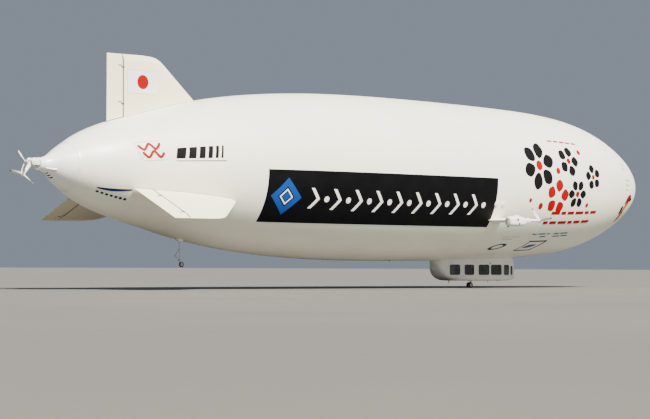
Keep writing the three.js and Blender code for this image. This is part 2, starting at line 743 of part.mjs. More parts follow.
function windowCutter(aft, fore, top, bottom, corner) {
  const outline = new THREE.Shape();
  outline.moveTo(aft + corner, bottom);
  outline.lineTo(fore - corner, bottom);
  outline.absarc(fore - corner, bottom + corner, corner, -Math.PI / 2, 0);
  outline.lineTo(fore, top - corner);
  outline.absarc(fore - corner, top - corner, corner, 0, Math.PI / 2);
  outline.lineTo(aft + corner, top);
  outline.absarc(aft + corner, top - corner, corner, Math.PI / 2, Math.PI);
  outline.lineTo(aft, bottom + corner);
  outline.absarc(aft + corner, bottom + corner, corner, Math.PI, Math.PI * 1.5);
  const reach = 800;
  const geometry = new THREE.ExtrudeGeometry(outline, { depth: reach, bevelEnabled: false, curveSegments: 3 });
  return geometry.rotateX(Math.PI / 2);
}

function makeGondola() {
  const outer = gondolaSolid(0);
  const inner = gondolaSolid(gondolaWall);
  const lining = gondolaSolid(gondolaWall + seatGap);
  const glassInner = gondolaSolid(gondolaWall + seatGap + glassThickness);
  const wide = 900;
  const slice = (x0, x1, z0, z1, y0 = -wide, y1 = wide) => box(x0, x1, y0, y1, z0, z1);

  place('gondola_belly', shape(outer.intersect(slice(4000, 9800, -4600, floorTop))), paint);

  const wallBase = floorTop + seatGap;
  const shell = outer.subtract(inner).intersect(slice(4000, 9800, wallBase, -3200)).subtract(hullSeat);
  const openings = { 1: [], '-1': [] };
  for (const side of [-1, 1]) {
    const shift = side > 0 ? 800 : 0;
    const aftmost = side > 0 ? aftWindows.port : aftWindows.starboard;
    for (const [aft, fore] of [aftmost, ...windows]) {
      const cutter = windowCutter(aft, fore, windowTop, windowBottom, windowCorner);
      openings[side].push(solid(cutter.translate(0, shift, 0)));
    }
    const { aft, fore, top, bottom, corner } = quarterWindow;
    openings[side].push(solid(windowCutter(aft, fore, top, bottom, corner).translate(0, shift, 0)));
  }
  const cut = (body, side) => openings[side].reduce((left, hole) => left.subtract(hole), body);

  const sideStart = keel.halfWidth + seatGap;
  const starboard = cut(shell.intersect(slice(aftSplit, noseSplit, -4600, -3200, -wide, -sideStart)), -1);
  place('gondola_wall_starboard', shape(starboard), paint);

  const { gap, hingeRadius, sink } = door;
  const portWhole = cut(shell.intersect(slice(aftSplit, noseSplit, -4600, -3200, sideStart, wide)), 1);
  const doorway = slice(door.aft, door.fore, door.bottom, door.top, doorDepth.opening, wide);
  const leafEdges = [door.aft + gap, door.fore - gap, door.bottom + gap, door.top - gap];
  const leaf = portWhole.intersect(slice(...leafEdges, doorDepth.leaf, wide));
  const hingeY = gondolaRows[4][1] + hingeRadius + 3;
  const hinges = [door.bottom + 130, door.top - 130];
  const knuckle = (low, high) => bar([door.fore, hingeY, low], [door.fore, hingeY, high], hingeRadius, hingeRadius, 12);
  const knuckles = hinges.map((z) => {
    const strap = box(door.fore - 90, door.fore - 3, hingeY - hingeRadius - 6, hingeY + 2, z - 22, z + 22);
    return knuckle(z - 30, z + 30).add(strap);
  });
  const lugs = hinges.flatMap((z) => [[z - 56, z - 30 - pinGap], [z + 30 + pinGap, z + 56]]).map(([low, high]) => {
    const root = box(door.fore, door.fore + 34, hingeY - hingeRadius - 12, hingeY + 4, low, high);
    return knuckle(low, high).add(root);
  });
  place('gondola_wall_port', shape(joined([portWhole.subtract(doorway), ...lugs])), paint);
  place('cabin_door', shape(joined([leaf, ...knuckles])), paint);

  const roofLow = roofTop - roofThickness;
  place('gondola_roof', shape(lining.intersect(slice(4400, 9180, roofLow, roofTop))), paint);

  const tailSpace = slice(4000, aftSplit - seatGap, -4600, -3200);
  const keelSpace = slice(aftSplit - 1, keel.end, -4600, keel.top, -keel.halfWidth, keel.halfWidth);
  place('gondola_tail', shape(shell.intersect(tailSpace.add(keelSpace))), paint);

  const screenHole = slice(windscreen.aft, 9900, windscreen.bottom, windscreen.top, -windscreen.halfWidth, windscreen.halfWidth);
  const post = slice(9000, 9900, -4600, -3200, -windscreen.post / 2, windscreen.post / 2);
  let nose = shell.intersect(slice(noseSplit + seatGap, 9800, -4600, -3200));
  nose = cut(cut(nose, 1), -1).subtract(screenHole.subtract(post));
  place('gondola_nose', shape(nose), paint);

  const pane = lining.subtract(glassInner);
  const band = (x0, x1, y0, y1) => pane.intersect(slice(x0, x1, windowBottom - 25, windowTop + 25, y0, y1));
  place('glazing_starboard', shape(band(aftSplit + 20, noseSplit, -wide, -60)), tintedGlass);
  place('glazing_port', shape(band(door.fore + 30, noseSplit, 60, wide)), tintedGlass);
  const front = pane.intersect(slice(noseSplit + 30, 9700, windscreen.bottom - 25, windscreen.top + 20));
  place('windscreen', shape(front), tintedGlass);
  const doorPane = pane.intersect(slice(door.aft + sink + gap, door.fore - sink - gap, windowBottom - 20, windowTop + 20, 0, wide));
  place('door_glass', shape(doorPane), tintedGlass);
}

function seatBody(x, y, base) {
  const { width, depth, pan, height, back, backDepth, post } = seat;
  const seatTop = base + height;
  const lower = base - 1;
  return joined([
    box(x - post / 2, x + post / 2, y - post / 2, y + post / 2, lower, seatTop - pan + 5),
    box(x - depth / 2, x + depth / 2, y - width / 2, y + width / 2, seatTop - pan, seatTop),
    box(x - depth / 2 - backDepth + 6, x - depth / 2 + 6, y - width / 2, y + width / 2, seatTop - pan, seatTop + back),
  ]);
}

function makeCabin() {
  const { first, pitch, count, offset, railWidth, rail } = seatFile;
  const base = floorTop + seatGap;
  for (const [label, side] of [['starboard', -1], ['port', 1]]) {
    const y = side * offset;
    const end = first + pitch * (count - 1);
    const parts = [box(first - 160, end + 120, y - railWidth / 2, y + railWidth / 2, base, base + rail)];
    for (let k = 0; k < count; k += 1) parts.push(seatBody(first + k * pitch, y, base + rail));
    place(`seats_${label}`, shape(joined(parts)), seatCloth);
  }
  const { x, offset: apart } = pilotSeats;
  const tie = box(x - 30, x + 30, -apart - 30, apart + 30, base, base + rail);
  place('pilot_seats', shape(joined([tie, seatBody(x, -apart, base + rail), seatBody(x, apart, base + rail)])), seatCloth);

  const { aft, fore, halfWidth, top } = dashboard;
  const panel = new THREE.Shape([
    new THREE.Vector2(aft + 70, base),
    new THREE.Vector2(fore, base),
    new THREE.Vector2(fore, top),
    new THREE.Vector2(aft + 60, top),
    new THREE.Vector2(aft, top - 60),
    new THREE.Vector2(aft + 70, top - 110),
  ]);
  const body = new THREE.ExtrudeGeometry(panel, { depth: halfWidth * 2, bevelEnabled: false });
  place('instrument_console', closedBody(body.rotateX(Math.PI / 2).translate(0, halfWidth, 0)), darkMetal);
}

makeHull();
makeNose();
makeTailCone();
makeTailDrive();
Object.keys(finTurns).forEach(makeFin);
for (const [label, side] of [['starboard', -1], ['port', 1]]) {
  makeSideEngine(side, label);
  makeCovers(side, label);
}
makeAftGear();
makeMainGear();
makeGondola();
makeCabin();

export default airship;
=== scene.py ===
import math

import bpy
from mathutils import Matrix, Vector


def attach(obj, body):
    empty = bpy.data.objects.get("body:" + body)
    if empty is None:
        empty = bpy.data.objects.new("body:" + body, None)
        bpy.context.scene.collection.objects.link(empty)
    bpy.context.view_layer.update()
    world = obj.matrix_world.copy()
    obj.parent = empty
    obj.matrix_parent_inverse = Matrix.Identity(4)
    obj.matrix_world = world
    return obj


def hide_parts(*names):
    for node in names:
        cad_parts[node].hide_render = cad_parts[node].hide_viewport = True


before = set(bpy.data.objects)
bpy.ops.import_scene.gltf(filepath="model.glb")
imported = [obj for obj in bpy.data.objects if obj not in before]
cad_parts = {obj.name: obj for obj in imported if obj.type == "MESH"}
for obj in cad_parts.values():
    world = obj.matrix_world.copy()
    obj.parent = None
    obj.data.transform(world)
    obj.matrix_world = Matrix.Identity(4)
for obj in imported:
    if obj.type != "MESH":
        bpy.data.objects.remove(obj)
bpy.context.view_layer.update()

xAxis, yAxis, zAxis = (1, 0, 0), (0, 1, 0), (0, 0, 1)
hands = (-1, 1)  # starboard, port

# Modelling helpers


def deselectAll():
    if bpy.context.object and bpy.context.object.mode != "OBJECT":
        bpy.ops.object.mode_set(mode="OBJECT")
    bpy.ops.object.select_all(action="DESELECT")


def pick(piece):
    deselectAll()
    piece.select_set(True)
    bpy.context.view_layer.objects.active = piece
    return piece


def edit(piece, select="SELECT"):
    pick(piece)
    bpy.ops.object.mode_set(mode="EDIT")
    bpy.ops.mesh.select_all(action=select)


def leaveEdit():
    bpy.ops.object.mode_set(mode="OBJECT")


def named(name):
    piece = bpy.context.object
    piece.name = name
    piece.data.name = name
    return piece


def flipped(piece):
    edit(piece)
    bpy.ops.mesh.flip_normals()
    leaveEdit()
    return piece


def cleaned(piece, gap=1e-5, fill=False):
    edit(piece)
    bpy.ops.mesh.remove_doubles(threshold=gap)
    if fill:
        bpy.ops.mesh.fill_holes(sides=0)
    bpy.ops.mesh.select_all(action="SELECT")
    bpy.ops.mesh.normals_make_consistent(inside=False)
    leaveEdit()
    return piece


def settled(piece):  # object back at the origin, its place in its mesh
    pick(piece)
    bpy.ops.object.transform_apply(location=True, rotation=True, scale=True)
    return piece


def applied(piece, kind, **values):
    pick(piece)
    step = piece.modifiers.new(kind.title(), kind)
    for key, value in values.items():
        setattr(step, key, value)
    bpy.ops.object.modifier_apply(modifier=step.name)
    return piece


def thickened(piece, wall, side=1.0):
    return applied(piece, "SOLIDIFY", thickness=wall, offset=side)


def bevelled(piece, width, segments=3, degrees=30):
    return applied(piece, "BEVEL", width=width, segments=segments, limit_method="ANGLE",
                   angle_limit=math.radians(degrees))


def cut(piece, tool, kind="DIFFERENCE"):
    applied(piece, "BOOLEAN", object=tool, operation=kind, solver="EXACT")
    bpy.data.objects.remove(tool)
    return piece


def smoothed(piece, degrees=35):
    pick(piece)
    bpy.ops.object.shade_smooth_by_angle(angle=math.radians(degrees))
    return piece


def joined(name, pieces):
    pick(pieces[0])
    for other in pieces[1:]:
        other.select_set(True)
    if len(pieces) > 1:
        bpy.ops.object.join()
    return named(name)


def copied(piece, name):
    pick(piece)
    bpy.ops.object.duplicate(linked=False)
    return named(name)


def placed(piece, matrix):
    piece.matrix_world = matrix @ piece.matrix_world
    return settled(piece)


def moved(piece, offset=(0, 0, 0), turn=None):  # turn: axis, degrees, centre
    matrix = Matrix.Translation(Vector(offset))
    if turn:
        axis, degrees, centre = turn
        about = Matrix.Translation(Vector(centre))
        matrix = matrix @ (about @ Matrix.Rotation(math.radians(degrees), 4, Vector(axis)) @ about.inverted())
    return placed(piece, matrix)


def reflected(piece):  # across the plane y = 0
    piece.scale = (1, -1, 1)
    return flipped(settled(piece))


def lofted(name, rings, capped=True, closed=True):  # a grid laid over rings of points
    columns = len(rings[0])
    deselectAll()
    bpy.ops.mesh.primitive_grid_add(
        x_subdivisions=columns if closed else columns - 1, y_subdivisions=len(rings) - 1, size=1)
    piece = named(name)
    points = [point for ring in rings for point in (list(ring) + [ring[0]] if closed else ring)]
    for vertex, point in zip(piece.data.vertices, points):
        vertex.co = point
    return cleaned(piece, fill=capped and closed)


def outlined(name, points, closed=True):  # edges only
    if len(points) == 2:
        points = [points[0], (Vector(points[0]) + Vector(points[1])) / 2, points[1]]
    deselectAll()
    bpy.ops.mesh.primitive_circle_add(vertices=len(points), radius=1)
    piece = named(name)
    for vertex, point in zip(piece.data.vertices, points):
        vertex.co = point
    if not closed:
        ends = {0, len(points) - 1}
        bpy.context.tool_settings.mesh_select_mode = (False, True, False)
        for vertex in piece.data.vertices:
            vertex.select = vertex.index in ends
        for edge in piece.data.edges:
            edge.select = set(edge.vertices) == ends
        bpy.ops.object.mode_set(mode="EDIT")
        bpy.ops.mesh.delete(type="EDGE")
        leaveEdit()
        bpy.context.tool_settings.mesh_select_mode = (True, False, False)
    return piece


def turned(name, rows, start=(0, 0, 0), axis=xAxis, steps=48, closed=False):  # rows: along, radius
    axis = Vector(axis).normalized()
    side = axis.orthogonal().normalized()
    start = Vector(start)
    piece = outlined(name, [start + axis * along + side * radius for along, radius in rows], closed)
    edit(piece)
    bpy.ops.mesh.spin(steps=steps, angle=math.tau, center=start, axis=axis)
    leaveEdit()
    return cleaned(piece, gap=2e-5)


def bothEnds(rows):  # a profile and its mirror image
    return rows + [(-along, radius) for along, radius in reversed(rows)]


def block(name, low, high, bevel=0.0, segments=2):
    deselectAll()
    middle = [(a + b) / 2 for a, b in zip(low, high)]
    size = [b - a for a, b in zip(low, high)]
    bpy.ops.mesh.primitive_cube_add(size=1, location=middle, scale=size)
    piece = settled(named(name))
    return bevelled(piece, bevel, segments) if bevel else piece


def rod(name, start, end, radius, tip=None, sides=24, bevel=0.0):
    start, end = Vector(start), Vector(end)
    along = end - start
    deselectAll()
    bpy.ops.mesh.primitive_cone_add(
        vertices=sides, radius1=radius, radius2=radius if tip is None else tip, depth=along.length)
    piece = named(name)
    turn = Vector(zAxis).rotation_difference(along.normalized())
    piece.matrix_world = Matrix.Translation((start + end) / 2) @ turn.to_matrix().to_4x4()
    settled(piece)
    return bevelled(piece, bevel, 2, 50) if bevel else piece


def wire(name, points, radius, closed=False, roundness=2):  # a round bar along points
    outlined(name, points, closed)
    bpy.ops.object.convert(target="CURVE")
    curve = bpy.context.object.data
    curve.bevel_depth = radius
    curve.bevel_resolution = roundness
    curve.use_fill_caps = not closed
    bpy.ops.object.convert(target="MESH")
    return smoothed(settled(named(name)), 60)


def bolts(name, places, direction, radius, height):  # one head, copied to each place
    direction = Vector(direction).normalized()
    first = bevelled(rod(name, (0, 0, 0), direction * height, radius, sides=6), radius * 0.15, 1, 40)
    heads = [moved(copied(first, f"{name}{k}"), place) for k, place in enumerate(places)]
    bpy.data.objects.remove(first)
    return joined(name, heads)


def ringPlaces(centre, axis, radius, count):
    axis = Vector(axis).normalized()
    side = axis.orthogonal().normalized()
    other = axis.cross(side)
    turns = [math.tau * k / count for k in range(count)]
    return [Vector(centre) + side * math.cos(t) * radius + other * math.sin(t) * radius for t in turns]


def boltRing(centre, axis, ringRadius, count, direction, radius, height):
    return bolts("ringBolts", ringPlaces(centre, axis, ringRadius, count), direction, radius, height)


def through(rows, x):  # a smooth curve through rows of place and value
    x = min(max(x, rows[0][0]), rows[-1][0])
    k = next((i for i in range(1, len(rows)) if rows[i][0] >= x), len(rows) - 1)
    (x0, y0), (x1, y1) = rows[k - 1], rows[k]
    tangents = []
    for i in (k - 1, k):
        low, high = rows[max(i - 1, 0)], rows[min(i + 1, len(rows) - 1)]
        tangents.append((high[1] - low[1]) / (high[0] - low[0]))
    span = x1 - x0
    t = (x - x0) / span
    return ((2 * t**3 - 3 * t**2 + 1) * y0 + (t**3 - 2 * t**2 + t) * span * tangents[0]
            + (3 * t**2 - 2 * t**3) * y1 + (t**3 - t**2) * span * tangents[1])


def columnsThrough(rows, x):  # the same for rows of a place and several values
    return [through([(row[0], row[i]) for row in rows], x) for i in range(1, len(rows[0]))]


def curveThrough(points, steps):  # a smooth line through a few points
    line = []
    for k in range(len(points) - 1):
        a, b, c, d = (Vector(points[min(max(i, 0), len(points) - 1)]) for i in (k - 1, k, k + 1, k + 2))
        for j in range(steps):
            t = j / steps
            line.append(0.5 * ((2 * b) + (c - a) * t + (2 * a - 5 * b + 4 * c - d) * t**2
                               + (3 * b - a - 3 * c + d) * t**3))
    return line + [Vector(points[-1])]


def evenly(low, high, count):
    return [low + (high - low) * k / count for k in range(count + 1)]


def spread(low, high, count):  # closer together at both ends
    middle, half = (low + high) / 2, (high - low) / 2
    return [middle - half * math.cos(math.pi * k / count) for k in range(count + 1)]


def eased(count):  # shares from 0 to 1, closer together at both ends
    return [0.5 - 0.5 * math.cos(math.pi * k / count) for k in range(count + 1)]


def sectionCurve(share):  # half thickness of an aerofoil along its chord
    return (0.2969 * math.sqrt(share) - 0.126 * share - 0.3516 * share**2 + 0.2843 * share**3
            - 0.1015 * share**4)


def roundCorners(corners, steps):  # corners: across, up and radius of each, turning left
    points = []
    for k, (across, up, radius) in enumerate(corners):
        for j in range(steps + 1):
            t = math.radians(90 * k + 90 * j / steps)
            points.append((across + radius * math.cos(t), up + radius * math.sin(t)))
    return points


def finished(piece, finish, body="airframe", replaces=(), degrees=35, slot=None):
    if degrees:
        smoothed(piece, degrees)
    piece.data.materials.clear()
    piece.data.materials.append(finish)
    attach(piece, body)
    if replaces:
        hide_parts(*replaces)
    return piece


def together(name, pieces, finish, *rest, **values):
    return finished(joined(name, pieces), finish, *rest, **values)


def onPort(piece, body="airframe", replaces=()):  # a finished starboard piece, mirrored
    other = reflected(copied(piece, piece.name.replace("Starboard", "") + "Port"))
    return finished(other, piece.data.materials[0], body, replaces, None)


# Material helpers


def newFinish(name, colour, roughness, metallic=0.0, **sockets):
    finish = bpy.data.materials.new(name)
    finish.use_nodes = True
    values = {"Base Color": (*colour, 1), "Roughness": roughness, "Metallic": metallic}
    for socket, value in (values | sockets).items():
        shaderOf(finish).inputs[socket.replace("_", " ")].default_value = value
    return finish


def shaderOf(finish):
    return finish.node_tree.nodes["Principled BSDF"]


def addNode(finish, kind, inputs=(), **settings):  # an input that is a socket is linked
    node = finish.node_tree.nodes.new(f"ShaderNode{kind}")
    for key, value in settings.items():
        setattr(node, key, value)
    for key, value in dict(inputs).items():
        socket = node.inputs[key]
        if isinstance(value, bpy.types.NodeSocket):
            finish.node_tree.links.new(value, socket)
        else:
            socket.default_value = value
    return node


def toShader(finish, socket, output):
    finish.node_tree.links.new(output, shaderOf(finish).inputs[socket])


def coords(finish, stretch=(1, 1, 1)):
    place = addNode(finish, "TexCoord").outputs["Object"]
    if stretch != (1, 1, 1):
        place = addNode(finish, "VectorMath", {0: place, 1: stretch}, operation="MULTIPLY").outputs[0]
    return place


def math2(finish, operation, a, b=0.0, clamp=False):
    return addNode(finish, "Math", {0: a, 1: b}, operation=operation, use_clamp=clamp).outputs[0]


def ranged(finish, value, low, high, toLow=0.0, toHigh=1.0):
    return addNode(finish, "MapRange", {
        "Value": value, "From Min": low, "From Max": high, "To Min": toLow, "To Max": toHigh,
    }).outputs["Result"]


def noise(finish, scale, detail=4.0, stretch=(1, 1, 1)):
    return addNode(finish, "TexNoise", {
        "Vector": coords(finish, stretch), "Scale": scale, "Detail": detail, "Roughness": 0.55,
    }).outputs["Fac"]


def waves(finish, scale, direction, **inputs):
    return addNode(finish, "TexWave", {"Vector": coords(finish), "Scale": scale, **inputs},
                   bands_direction=direction).outputs["Fac"]


def mixed(finish, factor, first, second):  # colours, or sockets that carry them
    mix = addNode(finish, "Mix", {0: factor}, data_type="RGBA", clamp_factor=True)
    for index, colour in ((6, first), (7, second)):
        if isinstance(colour, bpy.types.NodeSocket):
            finish.node_tree.links.new(colour, mix.inputs[index])
        else:
            mix.inputs[index].default_value = (*colour, 1)
    return mix.outputs[2]


def bumped(finish, heights, strength=0.3):  # heights: socket, distance
    normal = None
    for height, distance in heights:
        bump = addNode(finish, "Bump", {"Height": height, "Strength": strength, "Distance": distance})
        if normal:
            finish.node_tree.links.new(normal, bump.inputs["Normal"])
        normal = bump.outputs["Normal"]
    toShader(finish, "Normal", normal)


def varied(finish, scale, detail, low, high):  # uneven roughness
    toShader(finish, "Roughness", ranged(finish, noise(finish, scale, detail), 0.3, 0.7, low, high))


def coated(finish, weight, roughness):
    shaderOf(finish).inputs["Coat Weight"].default_value = weight
    shaderOf(finish).inputs["Coat Roughness"].default_value = roughness
    return finish


def weathered(finish, clean, worn, scale, low=0.45, high=0.7, grain=90.0, rough=(0.3, 0.5), depth=0.0004):
    patch = ranged(finish, noise(finish, scale, 6.0), low, high)
    toShader(finish, "Base Color", mixed(finish, patch, clean, worn))
    varied(finish, scale * 3.1, 5.0, *rough)
    bumped(finish, [(noise(finish, grain, 3.0), depth)], 0.25)
    return finish


def wornFinish(name, colour, roughness, worn, scale, metallic=0.0, **values):
    return weathered(newFinish(name, colour, roughness, metallic), colour, worn, scale, **values)


# Finishes

hullWhite = (0.88, 0.855, 0.72)
finCream = (0.88, 0.80, 0.58)
gores = 24  # panels of fabric round the hull


def fabricFinish():  # laminate in long gores, taped where they meet
    finish = newFinish("envelopeLaminate", hullWhite, 0.42)
    parts = addNode(finish, "SeparateXYZ", {0: coords(finish)}).outputs
    turn = math2(finish, "ARCTAN2", parts["Y"], parts["Z"])
    gap = ranged(finish, math2(finish, "PINGPONG", math2(finish, "ADD", turn, 4.0), math.pi / gores), 0.0, 0.006)
    hoops = math2(finish, "PINGPONG", math2(finish, "ADD", parts["X"], 40.0), 1.42)
    seams = math2(finish, "MINIMUM", gap, ranged(finish, hoops, 0.0, 0.016))
    grime = ranged(finish, noise(finish, 0.35, 6.0, (0.35, 1.0, 1.0)), 0.46, 0.72)
    dust = ranged(finish, noise(finish, 5.0, 8.0, (0.25, 1.0, 1.0)), 0.5, 0.8, 0.0, 0.55)
    # painted shade: the laminate is darkened towards the bottom of the hull, broken into patches by noise
    under = ranged(finish, parts["Z"], -3.6, -1.6, 1.0, 0.0)
    underShade = math2(finish, "MULTIPLY", under, ranged(finish, noise(finish, 1.4, 7.0, (0.5, 1, 1)), 0.35, 0.75))
    colour = mixed(finish, grime, hullWhite, (0.825, 0.81, 0.755))
    colour = mixed(finish, math2(finish, "MULTIPLY", dust, 0.35), colour, (0.74, 0.725, 0.66))
    # mixes in the painted underside shade
    colour = mixed(finish, math2(finish, "MULTIPLY", underShade, 0.5), colour, (0.66, 0.64, 0.555))
    toShader(finish, "Base Color", mixed(finish, seams, (0.77, 0.76, 0.71), colour))
    varied(finish, 2.2, 5.0, 0.36, 0.5)
    weave = waves(finish, 60.0, "X", Distortion=0.4, Detail=2.0)
    slack = noise(finish, 0.9, 3.0, (0.4, 1.0, 1.0))
    bumped(finish, [(slack, 0.02), (weave, 0.0006), (seams, -0.0015)], 0.25)
    return coated(finish, 0.18, 0.32)


def filmFinish(name, colour, roughness=0.5, shine=0.15):  # printed film laid on the skin
    finish = newFinish(name, colour, roughness, Specular_IOR_Level=shine)
    faded = tuple(c * 0.86 + 0.002 for c in colour)
    return weathered(finish, colour, faded, 1.1, 0.42, 0.72, 60.0, (roughness - 0.06, roughness + 0.1), 0.0006)


def paintFinish(name, colour, dirty, scale=1.5, rough=(0.28, 0.44)):
    finish = newFinish(name, colour, rough[0])
    patch = ranged(finish, noise(finish, scale, 6.0), 0.48, 0.76)
    edges = addNode(finish, "NewGeometry").outputs["Pointiness"]
    worn = math2(finish, "MULTIPLY", ranged(finish, edges, 0.52, 0.6),
                 ranged(finish, noise(finish, 22.0, 5.0), 0.45, 0.65), clamp=True)
    colours = mixed(finish, math2(finish, "MULTIPLY", patch, 0.6), colour, dirty)
    toShader(finish, "Base Color", mixed(finish, math2(finish, "MULTIPLY", worn, 0.5), colours, (0.5, 0.5, 0.48)))
    varied(finish, scale * 4, 5.0, *rough)
    bumped(finish, [(noise(finish, 140.0, 3.0), 0.0004), (noise(finish, 6.0, 3.0), 0.002)], 0.2)
    return coated(finish, 0.25, 0.22)


def clothFinish(name, colour, dark):
    finish = newFinish(name, colour, 0.88, Sheen_Weight=0.35, Sheen_Roughness=0.5)
    weave = math2(finish, "MULTIPLY", waves(finish, 190.0, "Y"), waves(finish, 190.0, "Z"))
    tone = math2(finish, "MULTIPLY", weave, ranged(finish, noise(finish, 18.0, 4.0), 0.3, 0.7, 0.5, 1.0))
    toShader(finish, "Base Color", mixed(finish, tone, dark, colour))
    varied(finish, 30.0, 3.0, 0.8, 0.95)
    bumped(finish, [(weave, 0.0006), (noise(finish, 40.0, 3.0), 0.0006)], 0.5)
    return finish


def glassFinish():
    finish = newFinish("tintedGlass", (0.02, 0.025, 0.028), 0.06, Alpha=0.55)
    toShader(finish, "Roughness", ranged(finish, noise(finish, 7.0, 5.0), 0.35, 0.75, 0.03, 0.12))
    tints = (0.03, 0.036, 0.04), (0.05, 0.06, 0.062)
    toShader(finish, "Base Color", mixed(finish, noise(finish, 1.4, 3.0), *tints))
    return finish


def lensFinish(name, colour, worn, rough=(0.08, 0.2)):
    return wornFinish(name, colour, 0.12, worn, 20.0, rough=rough, depth=0.0001)


envelopeLaminate = fabricFinish()
whitePaint = paintFinish("whitePaint", (0.84, 0.83, 0.79), (0.66, 0.64, 0.57))
finPaint = paintFinish("finPaint", finCream, (0.78, 0.72, 0.58), 0.8, (0.34, 0.5))
seamGrey = paintFinish("seamGrey", (0.3, 0.295, 0.27), (0.2, 0.19, 0.17), 3.0, (0.5, 0.65))
bladePaint = paintFinish("bladePaint", (0.80, 0.80, 0.775), (0.6, 0.59, 0.55), 3.0, (0.26, 0.4))
tipRed = paintFinish("tipRed", (0.34, 0.006, 0.006), (0.22, 0.02, 0.015), 3.0, (0.3, 0.42))
darkMetal = paintFinish("darkMetal", (0.07, 0.07, 0.075), (0.14, 0.12, 0.1), 4.0, (0.4, 0.6))
bareMetal = wornFinish("bareMetal", (0.52, 0.53, 0.54), 0.3, (0.34, 0.33, 0.31), 9.0, 0.9,
                       rough=(0.24, 0.44), depth=0.0003)
castMetal = wornFinish("castMetal", (0.12, 0.12, 0.125), 0.5, (0.2, 0.17, 0.14), 6.0, 0.6, rough=(0.42, 0.65))
blackFilm = filmFinish("blackFilm", (0.002, 0.002, 0.003), 0.62, 0.07)
charcoalFilm = filmFinish("charcoalFilm", (0.004, 0.004, 0.005), 0.62, 0.08)
whiteFilm = filmFinish("whiteFilm", (0.86, 0.86, 0.85), 0.36, 0.5)
greyFilm = filmFinish("greyFilm", (0.42, 0.44, 0.47), 0.4, 0.5)
redFilm = filmFinish("redFilm", (0.27, 0.0005, 0.001), 0.5, 0.1)
signalBlue = filmFinish("signalBlue", (0.004, 0.05, 0.26), 0.5, 0.12)
darkBlueFilm = filmFinish("darkBlueFilm", (0.006, 0.016, 0.08))
steelBlueFilm = filmFinish("steelBlueFilm", (0.05, 0.11, 0.24))
amberFilm = filmFinish("amberFilm", (0.52, 0.14, 0.003))
sealRubber = wornFinish("sealRubber", (0.02, 0.02, 0.021), 0.7, (0.05, 0.048, 0.045), 6.0, rough=(0.6, 0.8))
tyreRubber = wornFinish("tyreRubber", (0.022, 0.022, 0.023), 0.8, (0.06, 0.056, 0.05), 12.0, grain=300.0,
                        rough=(0.7, 0.9))
tintedGlass = glassFinish()
seatCloth = clothFinish("seatCloth", (0.10, 0.15, 0.27), (0.03, 0.05, 0.10))
carpetCloth = clothFinish("carpetCloth", (0.12, 0.12, 0.125), (0.05, 0.05, 0.055))
panelPlastic = wornFinish("panelPlastic", (0.055, 0.055, 0.06), 0.5, (0.085, 0.085, 0.09), 8.0, grain=260.0,
                          rough=(0.45, 0.62))
liningPlastic = wornFinish("liningPlastic", (0.55, 0.54, 0.51), 0.6, (0.45, 0.44, 0.41), 3.0, grain=200.0,
                           rough=(0.5, 0.7))
screenGlass = wornFinish("screenGlass", (0.012, 0.02, 0.03), 0.12, (0.02, 0.035, 0.05), 6.0,
                         rough=(0.06, 0.16), depth=0.0001)
redLens = lensFinish("redLens", (0.5, 0.01, 0.01), (0.35, 0.012, 0.01))
greenLens = lensFinish("greenLens", (0.01, 0.32, 0.08), (0.01, 0.22, 0.06))
clearLens = lensFinish("clearLens", (0.7, 0.7, 0.66), (0.5, 0.5, 0.46), (0.06, 0.16))

# Camera, light and floor

cameraPlace = {"at": (-75.4274, -72.2841, -3.7959), "yaw": 45.2149, "pitch": 1.3534, "roll": 0.003676, "lens": 133.94}
light = {"toward": (-0.04, -0.63, 0.77), "strength": 16.0, "angle": 12, "colour": (1.0, 0.96, 0.86),
         "sky": (0.235, 0.275, 0.33)}
floorPlace = {"level": -4.725, "size": 1600, "colour": (0.115, 0.112, 0.102), "worn": (0.106, 0.103, 0.094)}


def makeCamera():
    yaw, pitch, roll = math.radians(cameraPlace["yaw"]), math.radians(cameraPlace["pitch"]), cameraPlace["roll"]
    ahead = Vector((math.sin(yaw) * math.cos(pitch), math.cos(yaw) * math.cos(pitch), math.sin(pitch)))
    level = Vector((math.cos(yaw), -math.sin(yaw), 0))
    upright = level.cross(ahead)
    right = level * math.cos(roll) + upright * math.sin(roll)
    up = upright * math.cos(roll) - level * math.sin(roll)
    deselectAll()
    bpy.ops.object.camera_add(location=cameraPlace["at"])
    camera = named("camera")
    turn = Matrix((right, up, -ahead)).transposed().to_4x4()
    camera.matrix_world = Matrix.Translation(cameraPlace["at"]) @ turn
    camera.data.lens = cameraPlace["lens"]
    camera.data.clip_end = 5000
    bpy.context.scene.camera = camera


def makeLight():
    deselectAll()
    bpy.ops.object.light_add(type="SUN", location=(0, 0, 30))
    sun = named("sun")
    sun.rotation_euler = Vector(light["toward"]).to_track_quat("Z", "Y").to_euler()
    sun.data.energy = light["strength"]
    sun.data.angle = math.radians(light["angle"])
    sun.data.color = light["colour"]
    world = bpy.data.worlds.new("plainSky")
    bpy.context.scene.world = world
    world.use_nodes = True
    world.node_tree.nodes["Background"].inputs["Color"].default_value = (*light["sky"], 1)


def makeFloor():
    values = floorPlace
    deselectAll()
    bpy.ops.mesh.primitive_grid_add(
        x_subdivisions=8, y_subdivisions=8, size=values["size"], location=(0, 0, values["level"]))
    floor = settled(named("floor"))
    paving = newFinish("paleFloor", values["colour"], 0.8)
    floor.data.materials.append(
        weathered(paving, values["colour"], values["worn"], 0.05, 0.3, 0.8, 3.0, (0.7, 0.9)))


makeCamera()
makeLight()
makeFloor()

# Hull skin

